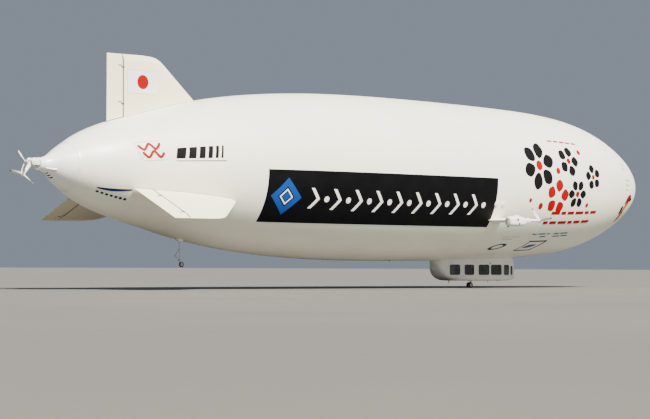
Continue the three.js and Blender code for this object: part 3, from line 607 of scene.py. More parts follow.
hullRows = [
    (-16.75, 0.94), (-16.1, 1.29), (-15.4, 1.58), (-14.5, 1.863), (-12.8, 2.285), (-10.8, 2.74), (-8.5, 3.11),
    (-6.0, 3.358), (-3.4, 3.494), (-0.5, 3.54), (3.5, 3.512), (7.5, 3.431), (10.0, 3.325), (11.8, 3.155),
    (13.2, 2.912), (14.5, 2.55), (15.6, 2.128), (16.5, 1.702), (17.2, 1.275), (17.6, 0.96), (17.9, 0.682),
]
hull = {"stations": 132, "sides": 112, "wall": 0.01, "film": 0.0015}


def hullRadius(x):
    return through(hullRows, x)


def hullSlope(x):
    return (hullRadius(x + 0.01) - hullRadius(x - 0.01)) / 0.02


def onHull(x, degrees, lift=0.0):  # degrees from the top down to starboard
    slope = hullSlope(x)
    across = 1 / math.hypot(1, slope)
    radius = hullRadius(x) + lift * across
    turn = math.radians(degrees)
    return Vector((x - lift * slope * across, -radius * math.sin(turn), radius * math.cos(turn)))


def hullTool(places, growth, steps=96):  # a solid of the hull's shape, to cut with
    rows = [(x, hullRadius(x) + growth) for x in places]
    return turned("trim", [(rows[0][0], 0.0), *rows, (rows[-1][0], 0.0)], steps=steps)


def makeHull():
    stations = spread(hullRows[0][0], hullRows[-1][0], hull["stations"])
    skin = turned("hullSkin", [(x, hullRadius(x)) for x in stations], steps=hull["sides"])
    finished(thickened(skin, hull["wall"], -1.0), envelopeLaminate, replaces=["envelope"], degrees=40)


makeHull()
print("hull done")

# Livery: films laid on both sides of the hull

banner = {"aft": -8.85, "fore": 4.58, "top": 88.6, "height": 2.27, "border": 0.04, "columns": 120, "rows": 18}
frieze = {"count": 9, "first": -6.55, "pitch": 1.19, "spot": 0.82, "lift": 0.0075}
barWidths = (0.42, 0.34, 0.27, 0.2, 0.14, 0.09)
tailMarks = {"bars": (-11.7, 75.0), "zigzag": (-14.05, 71.0), "stroke": (-15.35, 128.0)}
noseMarks = {"middle": (9.3, 86.0), "lines": (15.1, 80.0), "plume": (15.3, 112.0), "low": (8.6, 141.5)}
noseSpots = (((-1.75, 0.5), 0.22), ((0.5, 0.8), 0.14), ((1.05, -0.72), 0.14), ((2.32, 0.12), 0.12),
             ((-0.42, 0.3), 0.15), ((1.5, 1.3), 0.13), ((-1.55, -1.3), 0.15), ((-2.35, -1.05), 0.1),
             ((1.95, -1.25), 0.11))
lowFrame = (((-0.3, 0.02), (-0.36, 0.1), (0.95, 0.02), (0.95, 0.1)),
            ((-0.75, -0.62), (-0.68, -0.62), (-0.3, 0.02), (-0.22, 0.02)),
            ((0.3, -0.62), (0.42, -0.62), (0.83, 0.02), (0.95, 0.02)),
            ((-0.75, -0.69), (-0.75, -0.62), (0.42, -0.69), (0.42, -0.62)))


def hullPlace(centre, u, v, lift):  # u forwards and v upwards on the skin from a centre (station, degrees)
    x, degrees = centre
    return onHull(x + u / math.hypot(1, hullSlope(x)), degrees - math.degrees(v / hullRadius(x)), lift)


def facing(film, away):  # faces turned to look the way that away(place) points
    total = sum(face.normal.dot(Vector(away(face.center))) * face.area for face in film.data.polygons)
    return flipped(film) if total < 0 else film


def layFilm(name, grids, finish):  # to starboard, with its mirror image to port
    films = [facing(lofted(f"{name}{k}", grid, False, False), lambda place: (0, place.y, place.z))
             for k, grid in enumerate(grids)]
    onPort(finished(thickened(joined(name, films), hull["film"]), finish, degrees=40))


def markGroup(name, finish, centre, shapes, lift=0.004):
    layFilm(name, [[[hullPlace(centre, u, v, lift) for u, v in row] for row in rows] for rows in shapes], finish)


def stroke(points, widths, steps=8, across=4, blunt=0.16):  # rows of a brushed stroke: its places and half widths
    line = curveThrough([(*p, 0) for p in points], steps)
    halves = [w.x for w in curveThrough([(w, 0, 0) for w in widths], steps)]
    rows = []
    for k, place in enumerate(line):
        run = (line[min(k + 1, len(line) - 1)] - line[max(k - 1, 0)]).normalized()
        side = Vector((-run.y, run.x, 0))
        share = k / (len(line) - 1)
        end = min(share, 1 - share) / blunt
        half = halves[k] * (math.sqrt(max(1 - (1 - end) ** 2, 0.0)) if end < 1 else 1.0) + 0.002
        rows.append([tuple(place + side * half * (2 * j / across - 1))[:2] for j in range(across + 1)])
    return rows


def disc(centre, radius, inner=0.0, rings=4, sides=40):  # rows of a disc or a ring
    turns = [math.tau * j / sides for j in range(sides + 1)]
    return [[(centre[0] + max(reach, 0.001) * math.cos(t), centre[1] + max(reach, 0.001) * math.sin(t)) for t in turns]
            for reach in evenly(inner, radius, rings)]


def quad(corners, along=8, across=4):  # rows over a patch: start low, start high, end low, end high
    a, b, c, d = (Vector((*p, 0)) for p in corners)
    rows = []
    for k in range(along + 1):
        low, high = a.lerp(c, k / along), b.lerp(d, k / along)
        rows.append([tuple(low.lerp(high, j / across))[:2] for j in range(across + 1)])
    return rows


def dash(at, low, wide, high, lean=0.0, along=3, across=1):
    corners = [(at, low), (at + lean, high), (at + wide, low), (at + wide + lean, high)]
    return quad(corners, along, across)


def chevron(at, half, reach, width, steps=6):  # rows of a bent bar that points forwards
    rows = []
    for k in range(-steps, steps + 1):
        bend = at + reach * (1 - abs(k) / steps)
        rows.append([(bend - width + width * j, half * k / steps) for j in range(3)])
    return rows


def diamond(reach, inner=0.0, rings=3, side=5):
    rows = []
    for size in evenly(inner, reach, rings):
        size = max(size, 0.002)
        corners = [(size, 0), (0, size), (-size, 0), (0, -size), (size, 0)]
        ring = [(ax + (bx - ax) * j / side, ay + (by - ay) * j / side)
                for (ax, ay), (bx, by) in zip(corners, corners[1:]) for j in range(side)]
        rows.append(ring + [ring[0]])
    return rows


def rosette(centre, reach, petals, start=0.0):  # rows of each petal round a centre
    shapes = []
    for k in range(petals):
        t = start + math.tau * k / petals
        line = [(centre[0] + share * reach * math.cos(t), centre[1] + share * reach * math.sin(t))
                for share in (0.3, 0.68, 1.0)]
        shapes.append(stroke(line, [0.12 * reach, 1.7 * reach / petals, 0.12 * reach], 6, 3, 0.3))
    return shapes


def makeBanner():
    for name, grow, lift, finish in (("bannerEdge", banner["border"], 0.003, whiteFilm),
                                     ("banner", 0.0, 0.0055, blackFilm)):
        downs = evenly(-grow, banner["height"] + grow, banner["rows"])
        layFilm(name, [[[onHull(x, banner["top"] + math.degrees(down / hullRadius(x)), lift) for down in downs]
                        for x in evenly(banner["aft"] - grow, banner["fore"] + grow, banner["columns"])]], finish)


def makeFrieze():
    middle = banner["top"] + math.degrees(banner["height"] / 2 / 3.3)
    row = []
    for k in range(frieze["count"]):
        at = frieze["first"] + frieze["pitch"] * k
        row += [chevron(at, 0.46, 0.36, 0.085), disc((at + frieze["spot"], 0), 0.13, rings=2, sides=20)]
    markGroup("frieze", whiteFilm, (0.0, middle), row, frieze["lift"])
    for name, finish, shapes in (("friezeDiamond", signalBlue, [diamond(0.78, 0.42), diamond(0.2)]),
                                 ("friezeDiamondCore", whiteFilm, [diamond(0.34, 0.26)])):
        markGroup(name, finish, (-7.85, middle), shapes, frieze["lift"])


def makeTailMarks():
    bars, at = [], -1.35
    for width in barWidths:
        bars.append(dash(at, -0.24, width, 0.24, 0.12, 3, 3))
        at += width + 0.13
    markGroup("aftBars", charcoalFilm, tailMarks["bars"], [*bars, dash(-1.35, -0.36, 2.25, -0.33, along=12)])
    zigzag = [[(-0.5, 0.3), (-0.25, 0.06), (0.0, 0.3), (0.25, 0.06), (0.5, 0.3)],
              [(-0.35, -0.02), (-0.1, -0.26), (0.15, -0.02), (0.4, -0.26), (0.6, -0.08)]]
    markGroup("aftZigzag", redFilm, tailMarks["zigzag"], [stroke(line, [0.055] * 5, 5, 2, 0.02) for line in zigzag])
    markGroup("aftZigzagEdge", greyFilm, tailMarks["zigzag"], [
        stroke(line, [half, half], 8, 1, 0.01) for line, half in (
            ([(-0.62, 0.42), (-0.36, -0.4)], 0.013), ([(-0.62, 0.42), (0.55, 0.4)], 0.009),
            ([(-0.36, -0.4), (0.72, -0.36)], 0.009))])
    markGroup("tailStroke", darkBlueFilm, tailMarks["stroke"], [
        stroke([(-0.75, 0.02), (-0.1, 0.1), (0.72, 0.26)], [0.03, 0.06, 0.02], 6, 2, 0.1),
        *[dash(-0.7 + 0.2 * k, -0.22, 0.12, -0.12, along=2) for k in range(7)]])


def makeNoseMarks():
    middle, low = noseMarks["middle"], noseMarks["low"]
    markGroup("noseLeaves", charcoalFilm, middle, [
        *rosette((-1.75, 0.5), 1.1, 6, 0.3), *rosette((0.5, 0.8), 0.73, 5), *rosette((1.05, -0.72), 0.68, 6),
        *rosette((2.32, 0.12), 0.62, 5, 0.5)])
    markGroup("nosePetals", redFilm, middle, [
        *rosette((-0.42, -0.88), 0.8, 5, 0.2), *[disc(*spot, rings=2, sides=22) for spot in noseSpots]])
    markGroup("noseLines", greyFilm, noseMarks["lines"], [
        dash(at, v, wide, v + 0.06, along=4) for at, wide, v in (
            (-0.25, 0.5, 0.62), (-0.2, 0.4, 0.42), (0.0, 0.75, -0.1), (0.0, 0.6, -0.34), (0.08, 0.35, -0.58))])
    stripes = []
    for row, (at, end, drop) in enumerate(((-0.6, 3.3, -1.62), (-0.95, 2.9, -2.1))):
        for k in range(7):
            length = (0.62, 0.34, 0.5)[(k + row) % 3]
            if at + length > end:
                break
            stripes.append(dash(at, drop - 0.075, length, drop + 0.075, along=4))
            at += length + 0.12
    markGroup("noseDashes", redFilm, middle, stripes)
    markGroup("noseTopDashes", redFilm, middle, [dash(at, 1.72, 0.34, 1.8) for at in (-0.6, -0.15, 0.3, 0.75, 1.2)])
    for name, finish, lines in (
            ("plumeRed", redFilm, [[(0.95, 0.36), (0.45, 0.3), (0.0, 0.02)],
                                   [(0.2, -0.36), (-0.12, -0.52), (-0.42, -0.86)]]),
            ("plumeAmber", amberFilm, [[(0.75, 0.08), (0.2, -0.14), (-0.32, -0.6)]]),
            ("plumeBlack", charcoalFilm, [[(1.1, 0.16), (0.62, 0.2), (0.32, 0.06)],
                                          [(-0.1, -0.06), (-0.3, -0.2), (-0.42, -0.42)]])):
        strokes = [stroke(line, (0.07, 0.15, 0.06), 7, 3, 0.2) for line in lines]
        markGroup(name, finish, noseMarks["plume"], strokes)
    oval = [[(-2.25 + u * 1.9 + v * 0.5, -0.3 + v * 0.9 + u * 0.25) for u, v in row]
            for row in disc((0, 0), 0.26, 0.165, 2, 36)]
    markGroup("lowMarks", darkBlueFilm, low, [oval, *[quad(corners, 6, 1) for corners in lowFrame]])
    markGroup("lowFill", steelBlueFilm, low, [
        stroke([(-0.4, -0.42), (0.0, -0.3), (0.42, -0.22)], (0.03, 0.12, 0.03), 6, 3, 0.2)])
    markGroup("lowDashes", steelBlueFilm, low, [
        dash(at, v, wide, v + 0.07, 0.03) for at, wide, v in (
            (-0.55, 0.34, 0.5), (-0.12, 0.5, 0.5), (0.5, 0.22, 0.5), (1.0, 0.4, 0.5), (1.5, 0.55, 0.5),
            (0.1, 0.42, 0.33), (1.05, 0.5, 0.33), (1.65, 0.5, 0.33))])
    markGroup("lowLines", greyFilm, low, [
        dash(at, v, wide, v + 0.035) for at, wide, v in (
            (-2.5, 0.5, 0.36), (-1.9, 0.55, 0.36), (-2.4, 0.7, 0.22), (-2.9, 0.5, -0.98), (-2.3, 0.6, -0.98))])


makeBanner()
makeFrieze()
makeTailMarks()
makeNoseMarks()
print("livery done")

# Fins and their hinged surfaces, made upright and turned to their places

finRows = [(1.7, -8.723), (2.9, -10.19), (3.6, -11.046), (4.245, -11.835), (4.39, -12.08), (4.475, -12.4),
           (4.505, -12.85)]
fin = {
    "thickness": 0.06, "trailing": -14.69, "trailingHalf": 0.005, "hinge": -13.94, "gap": 0.024, "root": 1.7,
    "rounding": (4.2, 0.305), "rootInset": 0.03, "surfaceGap": 0.034, "brackets": (2.555, 3.995), "lip": 0.03,
}
finPlaces = {"top": (0, "rudder", "rudder_top"), "starboard": (116, "starboard_elevator", "elevator_starboard"),
             "port": (-116, "port_elevator", "elevator_port")}


def finLeading(span):
    return through(finRows, span)


def finHalf(x, span):  # half the section's thickness
    leading = finLeading(span)
    chord = leading - fin["trailing"]
    share = min(max((leading - x) / chord, 0.0), 1.0)
    taper = 1 - 0.75 * max(span - 4.245, 0) / 0.26
    least = fin["trailingHalf"] if share > 0.5 else 0.0
    return max(5 * fin["thickness"] * chord * sectionCurve(share), least) * taper


def finSpans():
    start, reach = fin["rounding"]
    return evenly(fin["root"], start, 14) + [start + reach * math.sin(math.pi / 2 * k / 11) for k in range(1, 12)]


def fixedRing(span):
    hinge, leading = fin["hinge"], finLeading(span)
    reach = finHalf(hinge, span) + fin["gap"]
    turn = math.asin(min(finHalf(hinge + reach * 0.5, span) / reach, 0.98))
    face = hinge + reach * math.cos(turn)
    upper = [(face + (leading - face) * t, 0.0 if t == 1 else finHalf(face + (leading - face) * t, span))
             for t in eased(30)]
    cove = [-turn + 2 * turn * k / 8 for k in range(1, 8)]
    ring = upper + [(x, -half) for x, half in reversed(upper[:-1])]
    ring += [(hinge + reach * math.cos(t), reach * math.sin(t)) for t in cove]
    return [(x, y, span) for x, y in ring]


def movingRing(span):
    hinge = fin["hinge"]
    half = finHalf(hinge, span)
    turns = [math.pi / 2 - math.pi * k / 14 for k in range(15)]
    nose = [(hinge + half * math.cos(t), half * math.sin(t)) for t in turns]
    side = [(x, finHalf(x, span)) for x in evenly(hinge, fin["trailing"], 8)[1:]]
    return [(x, y, span) for x, y in nose + [(x, -y) for x, y in side] + list(reversed(side))]


def finRoot(growth):  # where the fixed fin meets the hull, round its section
    low, high = -14.0, -8.0
    for _ in range(40):
        middle = (low + high) / 2
        if finLeading(hullRadius(middle)) > middle:
            low = middle
        else:
            high = middle
    start = fin["hinge"] + 0.09
    side = []
    for t in eased(40):
        x = start + (low - start) * t
        half = finHalf(x, hullRadius(x)) if t < 1 else 0.0
        side.append((x, half + growth, math.sqrt(max((hullRadius(x) + growth * 0.3) ** 2 - half**2, 0))))
    side[-1] = (side[-1][0] + growth, 0.0, side[-1][2])
    return side + [(x, -y, z) for x, y, z in reversed(side[:-1])]


def finBracket(span):  # the parts that stay with the fin, and those that turn
    x = fin["hinge"]
    half = finHalf(x, span)
    fixed = [rod("eye", (x, 0, span - 0.024), (x, 0, span + 0.024), 0.036, bevel=0.003),
             block("arm", (x, -0.02, span - 0.018), (x + 0.13, 0.02, span + 0.018), 0.004)]
    turning = [rod("pin", (x, 0, span - 0.05), (x, 0, span + 0.05), 0.0095, sides=16)]
    for hand in hands:
        plate = block("plate", (x + 0.03, -0.004, span - 0.02), (x + 0.2, 0.004, span + 0.02), 0.003)
        fixed.append(moved(plate, (0, hand * (half + 0.008), 0), (zAxis, -hand * 2.0, (x, 0, 0))))
        horn = block("horn", (x - 0.2, -0.004, span + 0.05), (x - 0.03, 0.004, span + 0.085), 0.003)
        turning.append(moved(horn, (0, hand * (half + 0.006), 0), (zAxis, hand * 2.6, (x, 0, 0))))
    return fixed, turning


def finLip(hand):  # the seal beside the hinge
    foot = hullRadius(fin["hinge"])
    rows = []
    for k in range(40):
        span = foot + 0.01 + (4.49 - foot) * k / 40
        face = fin["hinge"] + (finHalf(fin["hinge"], span) + fin["gap"]) * 0.75
        places = [face + fin["lip"] * j / 3 for j in range(4)]
        rows.append([(x, hand * (finHalf(x, span) + 0.0012), span) for x in places])
    return lofted("lip", rows, False, False)


def makeFin(side):
    degrees, body, surface = finPlaces[side]
    title = side.title()
    turn = (xAxis, degrees, (0, 0, 0))
    stations = spread(-16.7, -6.0, 60)
    fixed = cut(lofted(f"fin{title}", [fixedRing(s) for s in finSpans()]), hullTool(stations, -fin["rootInset"]))
    moving = cut(lofted(f"surface{title}", [movingRing(s) for s in finSpans()]), hullTool(stations, fin["surfaceGap"]))
    x = fin["hinge"]
    cut(moving, joined("notches", [
        block("notch", (x - 0.052, -0.15, span - 0.036), (x + 0.2, 0.15, span + 0.036)) for span in fin["brackets"]]))
    finished(moved(fixed, turn=turn), finPaint, replaces=[f"fin_{side}"], degrees=32)
    brackets = [finBracket(span) for span in fin["brackets"]]
    for name, rides, parts in (("surfacePins", body, [part for _, turning in brackets for part in turning]),
                               ("hingeParts", "airframe", [part for still, _ in brackets for part in still])):
        finished(moved(joined(name + title, parts), turn=turn), darkMetal, rides, degrees=40)
    finished(moved(moving, turn=turn), finPaint, body, [surface], 32)
    lip = thickened(joined(f"hingeSeal{title}", [finLip(hand) for hand in hands]), 0.003, 0.0)
    finished(moved(lip, turn=turn), sealRubber, degrees=40)
    bead = wire(f"rootBead{title}", finRoot(0.004), 0.012, closed=True)
    finished(moved(bead, turn=turn), seamGrey, degrees=None)


for side in finPlaces:
    makeFin(side)
print("fins done")

# Flag on the upright fin

flag = {"aft": -13.68, "fore": -12.16, "low": 2.994, "high": 3.912, "disc": 0.285, "edge": 0.012}


def finFilm(name, rows, finish, lift):
    for hand, suffix in zip(hands, ("Starboard", "Port")):
        grid = [[(x, hand * (finHalf(x, z) + lift), z) for x, z in row] for row in rows]
        film = facing(lofted(name + suffix, grid, False, False), lambda _: (0, hand, 0))
        finished(thickened(film, hull["film"]), finish, degrees=40, slot="white_paint")


def flagRows(grow):
    heights = evenly(flag["low"] - grow, flag["high"] + grow, 12)
    return [[(x, z) for z in heights] for x in evenly(flag["aft"] - grow, flag["fore"] + grow, 24)]


flagCentre = ((flag["aft"] + flag["fore"]) / 2, (flag["low"] + flag["high"]) / 2)
finFilm("flagEdge", flagRows(flag["edge"]), greyFilm, 0.001)
finFilm("flagField", flagRows(0.0), whiteFilm, 0.003)
finFilm("flagDisc", disc(flagCentre, flag["disc"], rings=5, sides=56), redFilm, 0.0052)
print("flag done")

# Nose cap and mooring spindle

noseRows = [(17.9, 0.682), (18.04, 0.54), (18.14, 0.4), (18.2, 0.26), (18.225, 0.15), (18.23, 0.0)]
noseLap = [(17.862, 0.7165), (17.862, 0.7195), (17.9, 0.6865), (17.925, 0.6625), (17.925, 0.6575)]
spindle = {"radius": 0.045, "head": 0.075, "headLength": 0.045, "seat": 18.205, "end": 18.353, "flange": 0.13}


def makeNose():
    outer = [(x + 0.0006, r) for x, r in noseRows[:-1]]
    profile = []
    for (low, _), (high, _) in zip(outer, outer[1:]):
        profile += [(x, through(outer, x)) for x in evenly(low, high, 6)[:-1]]
    cap = turned("noseCap", [*profile, outer[-1], (18.2305, 0.132)], steps=96)
    finished(thickened(cap, 0.02, -1.0), whitePaint, replaces=["nose_cap"], degrees=40)
    finished(turned("noseLap", noseLap, steps=96), whitePaint, degrees=40)
    heads = boltRing((17.905, 0, 0), xAxis, 0.6835, 48, xAxis, 0.009, 0.006)
    together("noseBolts", [heads], bareMetal, degrees=40)
    start, end, flange, radius, head = (spindle[key] for key in ("seat", "end", "flange", "radius", "head"))
    neck = end - spindle["headLength"]
    rows = [(start, 0.0), (start, flange), (start + 0.026, flange), (start + 0.030, flange - 0.004),
            (start + 0.030, 0.075), (start + 0.036, 0.056), (start + 0.05, radius), (neck - 0.01, radius),
            (neck - 0.003, 0.05), (neck + 0.008, head - 0.004), (neck + 0.014, head), (end - 0.012, head),
            (end - 0.002, head - 0.008), (end, head - 0.014), (end, 0.0)]
    finished(turned("mooringSpindle", rows, steps=56), bareMetal, replaces=["mooring_spindle"])
    ring = boltRing((start + 0.0295, 0, 0), xAxis, 0.105, 12, xAxis, 0.009, 0.007)
    together("spindleBolts", [ring], darkMetal, degrees=40)


makeNose()
print("nose done")

# Tail cone

tailRows = [(-18.05, 0.230, 0.060), (-17.85, 0.280, 0.048), (-17.65, 0.362, 0.036), (-17.45, 0.490, 0.024),
            (-17.25, 0.637, 0.014), (-17.0, 0.797, 0.005), (-16.75, 0.940, 0.0)]
tailCone = {"wall": 0.012, "sides": 72, "stations": 40, "end": -18.05, "foot": -16.751}
tailVent = {"first": -17.72, "pitch": 0.115, "count": 3, "length": 0.06, "half": 0.15}
tailLap = [(-16.80, 0.9165), (-16.80, 0.9205), (-16.775, 0.9345), (-16.75, 0.949), (-16.725, 0.9605),
           (-16.70, 0.9705), (-16.70, 0.9655)]


def tailPoint(x, degrees, lift=0.0):  # degrees from the top down to starboard
    radius, rise = columnsThrough(tailRows, x)
    radius += lift
    turn = math.radians(degrees)
    return Vector((x, -radius * math.sin(turn), rise + radius * math.cos(turn)))


def tailRings(low, inset, count):
    turns = [360 * j / tailCone["sides"] for j in range(tailCone["sides"])]
    return [[tailPoint(x, turn, -inset) for turn in turns] for x in evenly(low, tailCone["foot"], count)]


def ventLedge(hand):
    rings = []
    for t in evenly(0, 1, 16):
        x, degrees = -17.86 + 0.4 * t, hand * (117 - 8 * t)
        reach = 0.045 * math.sin(math.pi * min(t * 0.86 + 0.14, 1.0)) ** 0.6 + 0.002
        rings.append([tailPoint(x, degrees + turn * hand, lift) for turn, lift in (
            (-2, -0.004), (2, reach), (4.5, reach * 0.94), (3, -0.004))])
    return lofted("ledge", rings)


def makeTailCone():
    cone = lofted("tailCone", tailRings(tailCone["end"], 0.0, tailCone["stations"]))
    inner = tailRings(-18.026, tailCone["wall"] * 1.3, 30)
    inner[-1] = [point + Vector((0.05, 0, 0)) for point in inner[-1]]
    cut(cone, lofted("coneInside", inner))
    half, blades = tailVent["half"], []
    for k in range(tailVent["count"]):
        x = tailVent["first"] + k * tailVent["pitch"]
        cut(cone, block("slot", (x, -half, -0.7), (x + tailVent["length"], half, -0.12), 0.02, 4))
        low = tailPoint(x + 0.03, 180).z
        blade = block("blade", (x + 0.01, -half - 0.004, low + 0.03), (x + 0.014, half + 0.004, low + 0.085))
        blades.append(moved(blade, turn=(yAxis, 28, (x + 0.012, 0, low + 0.06))))
    finished(cone, whitePaint, replaces=["tail_cone"], degrees=32)
    together("ventBlades", blades, darkMetal, degrees=40)
    # painted shade: the bulkhead is white paint but takes the dark metal finish, so the cone's inside reads as shadow
    # through the vents
    bulkhead = turned("tailShadeBulkhead", [(-17.024, 0.0), (-17.024, 0.776), (-17.01, 0.784), (-17.01, 0.0)], steps=64)
    finished(bulkhead, darkMetal, degrees=30, slot="white_paint")
    ledges = joined("ventLedges", [ventLedge(hand) for hand in hands])
    finished(bevelled(ledges, 0.004, 2), whitePaint)
    finished(turned("tailLap", tailLap, steps=96), whitePaint, degrees=40)
    places = [tailPoint(-16.782, 7.5 * k, 0.0045) for k in range(48)]
    finished(bolts("tailBolts", places, (-1, 0, 0), 0.008, 0.004), bareMetal, degrees=40)


makeTailCone()

# Tail drive: fork, swivelling gear head and two propellers

tailPivot = Vector((-18.35, 0, 0.15))
tailAim = Vector((-math.cos(math.radians(50)), 0, -math.sin(math.radians(50))))
tailReach = {"pusher": 0.64, "lateral": 0.4}
fork = {"inner": 0.125, "outer": 0.170, "radius": 0.14, "web": -18.205}
tailFlange = [(-18.10, 0.15), (-18.10, 0.236), (-18.094, 0.244), (-18.062, 0.247), (-18.052, 0.24), (-18.052, 0.15)]
fitGap = 0.0006  # between parts that turn against each other
bladeRows = [(0.08, 0.62, 0.42, 62), (0.22, 0.86, 0.24, 50), (0.45, 1.0, 0.15, 36), (0.72, 0.9, 0.11, 27),
             (0.93, 0.66, 0.09, 22), (1.0, 0.3, 0.09, 20)]
tipShares = [0.88, 0.90, 0.92, 0.94, 0.955, 0.97, 0.98, 0.99, 0.996, 1.0]
propellers = {
    "side": {"radius": 0.7, "chord": 0.118, "hub": 0.062, "spinner": 0.12, "back": 0.038},
    "pusher": {"radius": 0.65, "chord": 0.118, "hub": 0.066, "spinner": 0.11, "back": 0.04},
    "lateral": {"radius": 0.575, "chord": 0.104, "hub": 0.06, "spinner": 0.08, "back": 0.038},
}


def bladeRing(values, share):
    width, depth, pitch = columnsThrough(bladeRows, share)
    rounding = math.sqrt(max(1 - ((share - 0.93) / 0.07) ** 2, 0.05)) if share > 0.93 else 1.0
    half = values["chord"] * max(width, 0.3) * rounding / 2
    lean = math.radians(pitch)
    ring = []
    for k in range(22):
        t = math.tau * k / 22
        across = half * math.cos(t)
        camber = 0.12 * half * (1 - math.cos(t) ** 2) * min(share * 2, 1)
        rise = half * depth * math.sin(t) * (1.0 + 0.25 * math.cos(t)) + camber
        ring.append((across * math.sin(lean) + rise * math.cos(lean), share * values["radius"],
                     across * math.cos(lean) - rise * math.sin(lean)))
    return ring


def hubRows(back, hub, spinner):
    face = back * 0.6
    rows = [(-back, 0.0), (-back, hub * 0.86), (-back + 0.004, hub * 0.9), (-back * 0.4, hub * 0.985), (face, hub)]
    turns = [math.pi / 2 * k / 14 for k in range(1, 14)]
    rows += [(face + (spinner - face) * math.sin(t), hub * math.cos(t) ** 0.85) for t in turns]
    return rows + [(spinner, 0.0)]


def makePropeller(name, kind, phase, matrix, body, node, mirror=False):
    values = propellers[kind]
    hub, back = values["hub"], values["back"]
    blades, tips, cuffs = [], [], []
    for turn in (0, 120, 240):
        spun = (xAxis, phase + turn, (0, 0, 0))
        blades.append(moved(lofted("blade", [bladeRing(values, s) for s in evenly(0.08, 0.88, 16)]), turn=spun))
        tips.append(moved(lofted("tip", [bladeRing(values, s) for s in tipShares]), turn=spun))
        cuff = rod("cuff", (0, hub * 0.6, 0), (0, hub * 1.32, 0), hub * 0.47, hub * 0.42, 28, 0.003)
        cuffs.append(moved(cuff, turn=spun))
    core = turned("hub", hubRows(back, hub, values["spinner"]))
    start = back * 0.62
    joint = turned("joint", [(start, hub * 1.004), (start + 0.003, hub * 1.004), (start + 0.0015, hub * 0.985)],
                   closed=True)
    for part, pieces, finish in (("Blades", blades, bladePaint), ("Tips", tips, tipRed),
                                 ("Hub", [core, *cuffs], whitePaint), ("Joint", [joint], darkMetal)):
        piece = joined(name + part, pieces)
        if mirror:
            reflected(piece)
        finished(placed(piece, matrix), finish, body, [node] if part == "Blades" else (), 34)


def makeTailFork():
    x, z, radius = tailPivot.x, tailPivot.z, fork["radius"]
    parts = []
    for hand in hands:
        far = hand * fork["outer"]
        low, high = sorted((hand * fork["inner"], far))
        parts.append(block("arm", (x, low + 0.002, z - radius + 0.012), (-18.052, high - 0.002, z + radius - 0.012),
                           0.008, 3))
        parts.append(rod("eye", (x, low, z), (x, high, z), radius, sides=64, bevel=0.006))
        if hand < 0:
            parts.append(rod("cap", (x, far, z), (x, far - 0.022, z), 0.085, 0.08, 40, 0.004))
            parts.append(boltRing((x, far - 0.022, z), yAxis, 0.062, 6, (0, -1, 0), 0.008, 0.006))
    parts.append(block("web", (fork["web"], -0.166, z - 0.136), (-18.0505, 0.166, z + 0.136), 0.016, 3))
    parts.append(turned("tailFlange", tailFlange, start=(0, 0, 0.06), steps=64, closed=True))
    end = tailReach["lateral"] - propellers["lateral"]["back"] - fitGap
    boss = [(0.0, 0.10), (0.006, 0.104), (0.022, 0.104), (0.028, 0.09), (0.05, 0.084), (end - 0.215, 0.058),
            (end - 0.185, 0.056), (end - 0.18, 0.05), (end - 0.171, 0.05), (end - 0.171, 0.0)]
    parts.append(turned("boss", boss, (x, 0.17, z), yAxis))
    together("tailForkBody", parts, whitePaint, replaces=["tail_fork"])


def makeTailDrive():
    barrel = bothEnds([(-0.116, 0.0), (-0.116, 0.104), (-0.11, 0.112), (-0.085, 0.115), (-0.08, 0.122),
                       (-0.055, 0.122), (-0.05, 0.114)])
    journal = Vector((0, fork["inner"] - fitGap, 0))
    reach = tailReach["pusher"] - propellers["pusher"]["back"] - fitGap
    arm = [(0.0, 0.0), (0.0, 0.09), (0.09, 0.092), (0.125, 0.1), (0.15, 0.1), (0.155, 0.088), (0.2, 0.084),
           (0.34, 0.074), (0.44, 0.066), (0.47, 0.07), (0.515, 0.07), (0.52, 0.062), (0.56, 0.058), (0.57, 0.054),
           (reach - 0.004, 0.05), (reach, 0.046), (reach, 0.0)]
    together("tailGearBody", [
        turned("barrel", barrel, tailPivot, yAxis, 64),
        rod("journals", tailPivot - journal, tailPivot + journal, 0.06, sides=40),
        turned("arm", arm, tailPivot, tailAim),
        boltRing(tailPivot + tailAim * 0.15, tailAim, 0.093, 10, tailAim, 0.0065, 0.008),
    ], whitePaint, "tail_head", ["tail_gear_head"])
    aim = Vector(xAxis).rotation_difference(tailAim).to_matrix().to_4x4()
    makePropeller("pusher", "pusher", 100, Matrix.Translation(tailPivot + tailAim * tailReach["pusher"]) @ aim,
                  "pusher", "pusher_propeller")
    side = Matrix.Translation(tailPivot + Vector((0, tailReach["lateral"], 0))) @ Matrix.Rotation(math.pi / 2, 4, "Z")
    makePropeller("lateral", "lateral", 50, side, "tail_side_screw", "lateral_propeller")


makeTailFork()
makeTailDrive()
print("tail done")

# Side engines: pylon, nacelle, swivelling head and propeller, made to starboard and copied to port

engine = {"x": 5.62, "y": 4.2, "z": -1.745, "wall": 0.01, "reach": 0.93}
nacelleRows = [(-1.22, 0.12, 0.085, -0.195), (-1.175, 0.18, 0.135, -0.242), (-1.07, 0.215, 0.162, -0.265),
               (-0.95, 0.225, 0.17, -0.268), (-0.52, 0.225, 0.165, -0.268), (-0.32, 0.212, 0.128, -0.232),
               (-0.17, 0.19, 0.082, -0.165)]  # place, half width, top, bottom
nacelleStations = [-1.22, -1.21, -1.2, -1.18, -1.155, -1.12, -1.07, -1.0, -0.93, -0.86, -0.78, -0.7, -0.62, -0.54,
                   -0.46, -0.4, -0.34, -0.28, -0.22, -0.19, -0.17]
scoopSection = [(-1, -0.6), (-1, 0.5), (-0.7, 0.85), (-0.3, 1), (0.3, 1), (0.7, 0.85), (1, 0.5), (1, -0.6)]
cheek = {"inner": 0.14, "outer": 0.185, "radius": 0.105}
ducts = [(-0.8, 0.005, 0.058), (-0.69, -0.165, 0.046)]
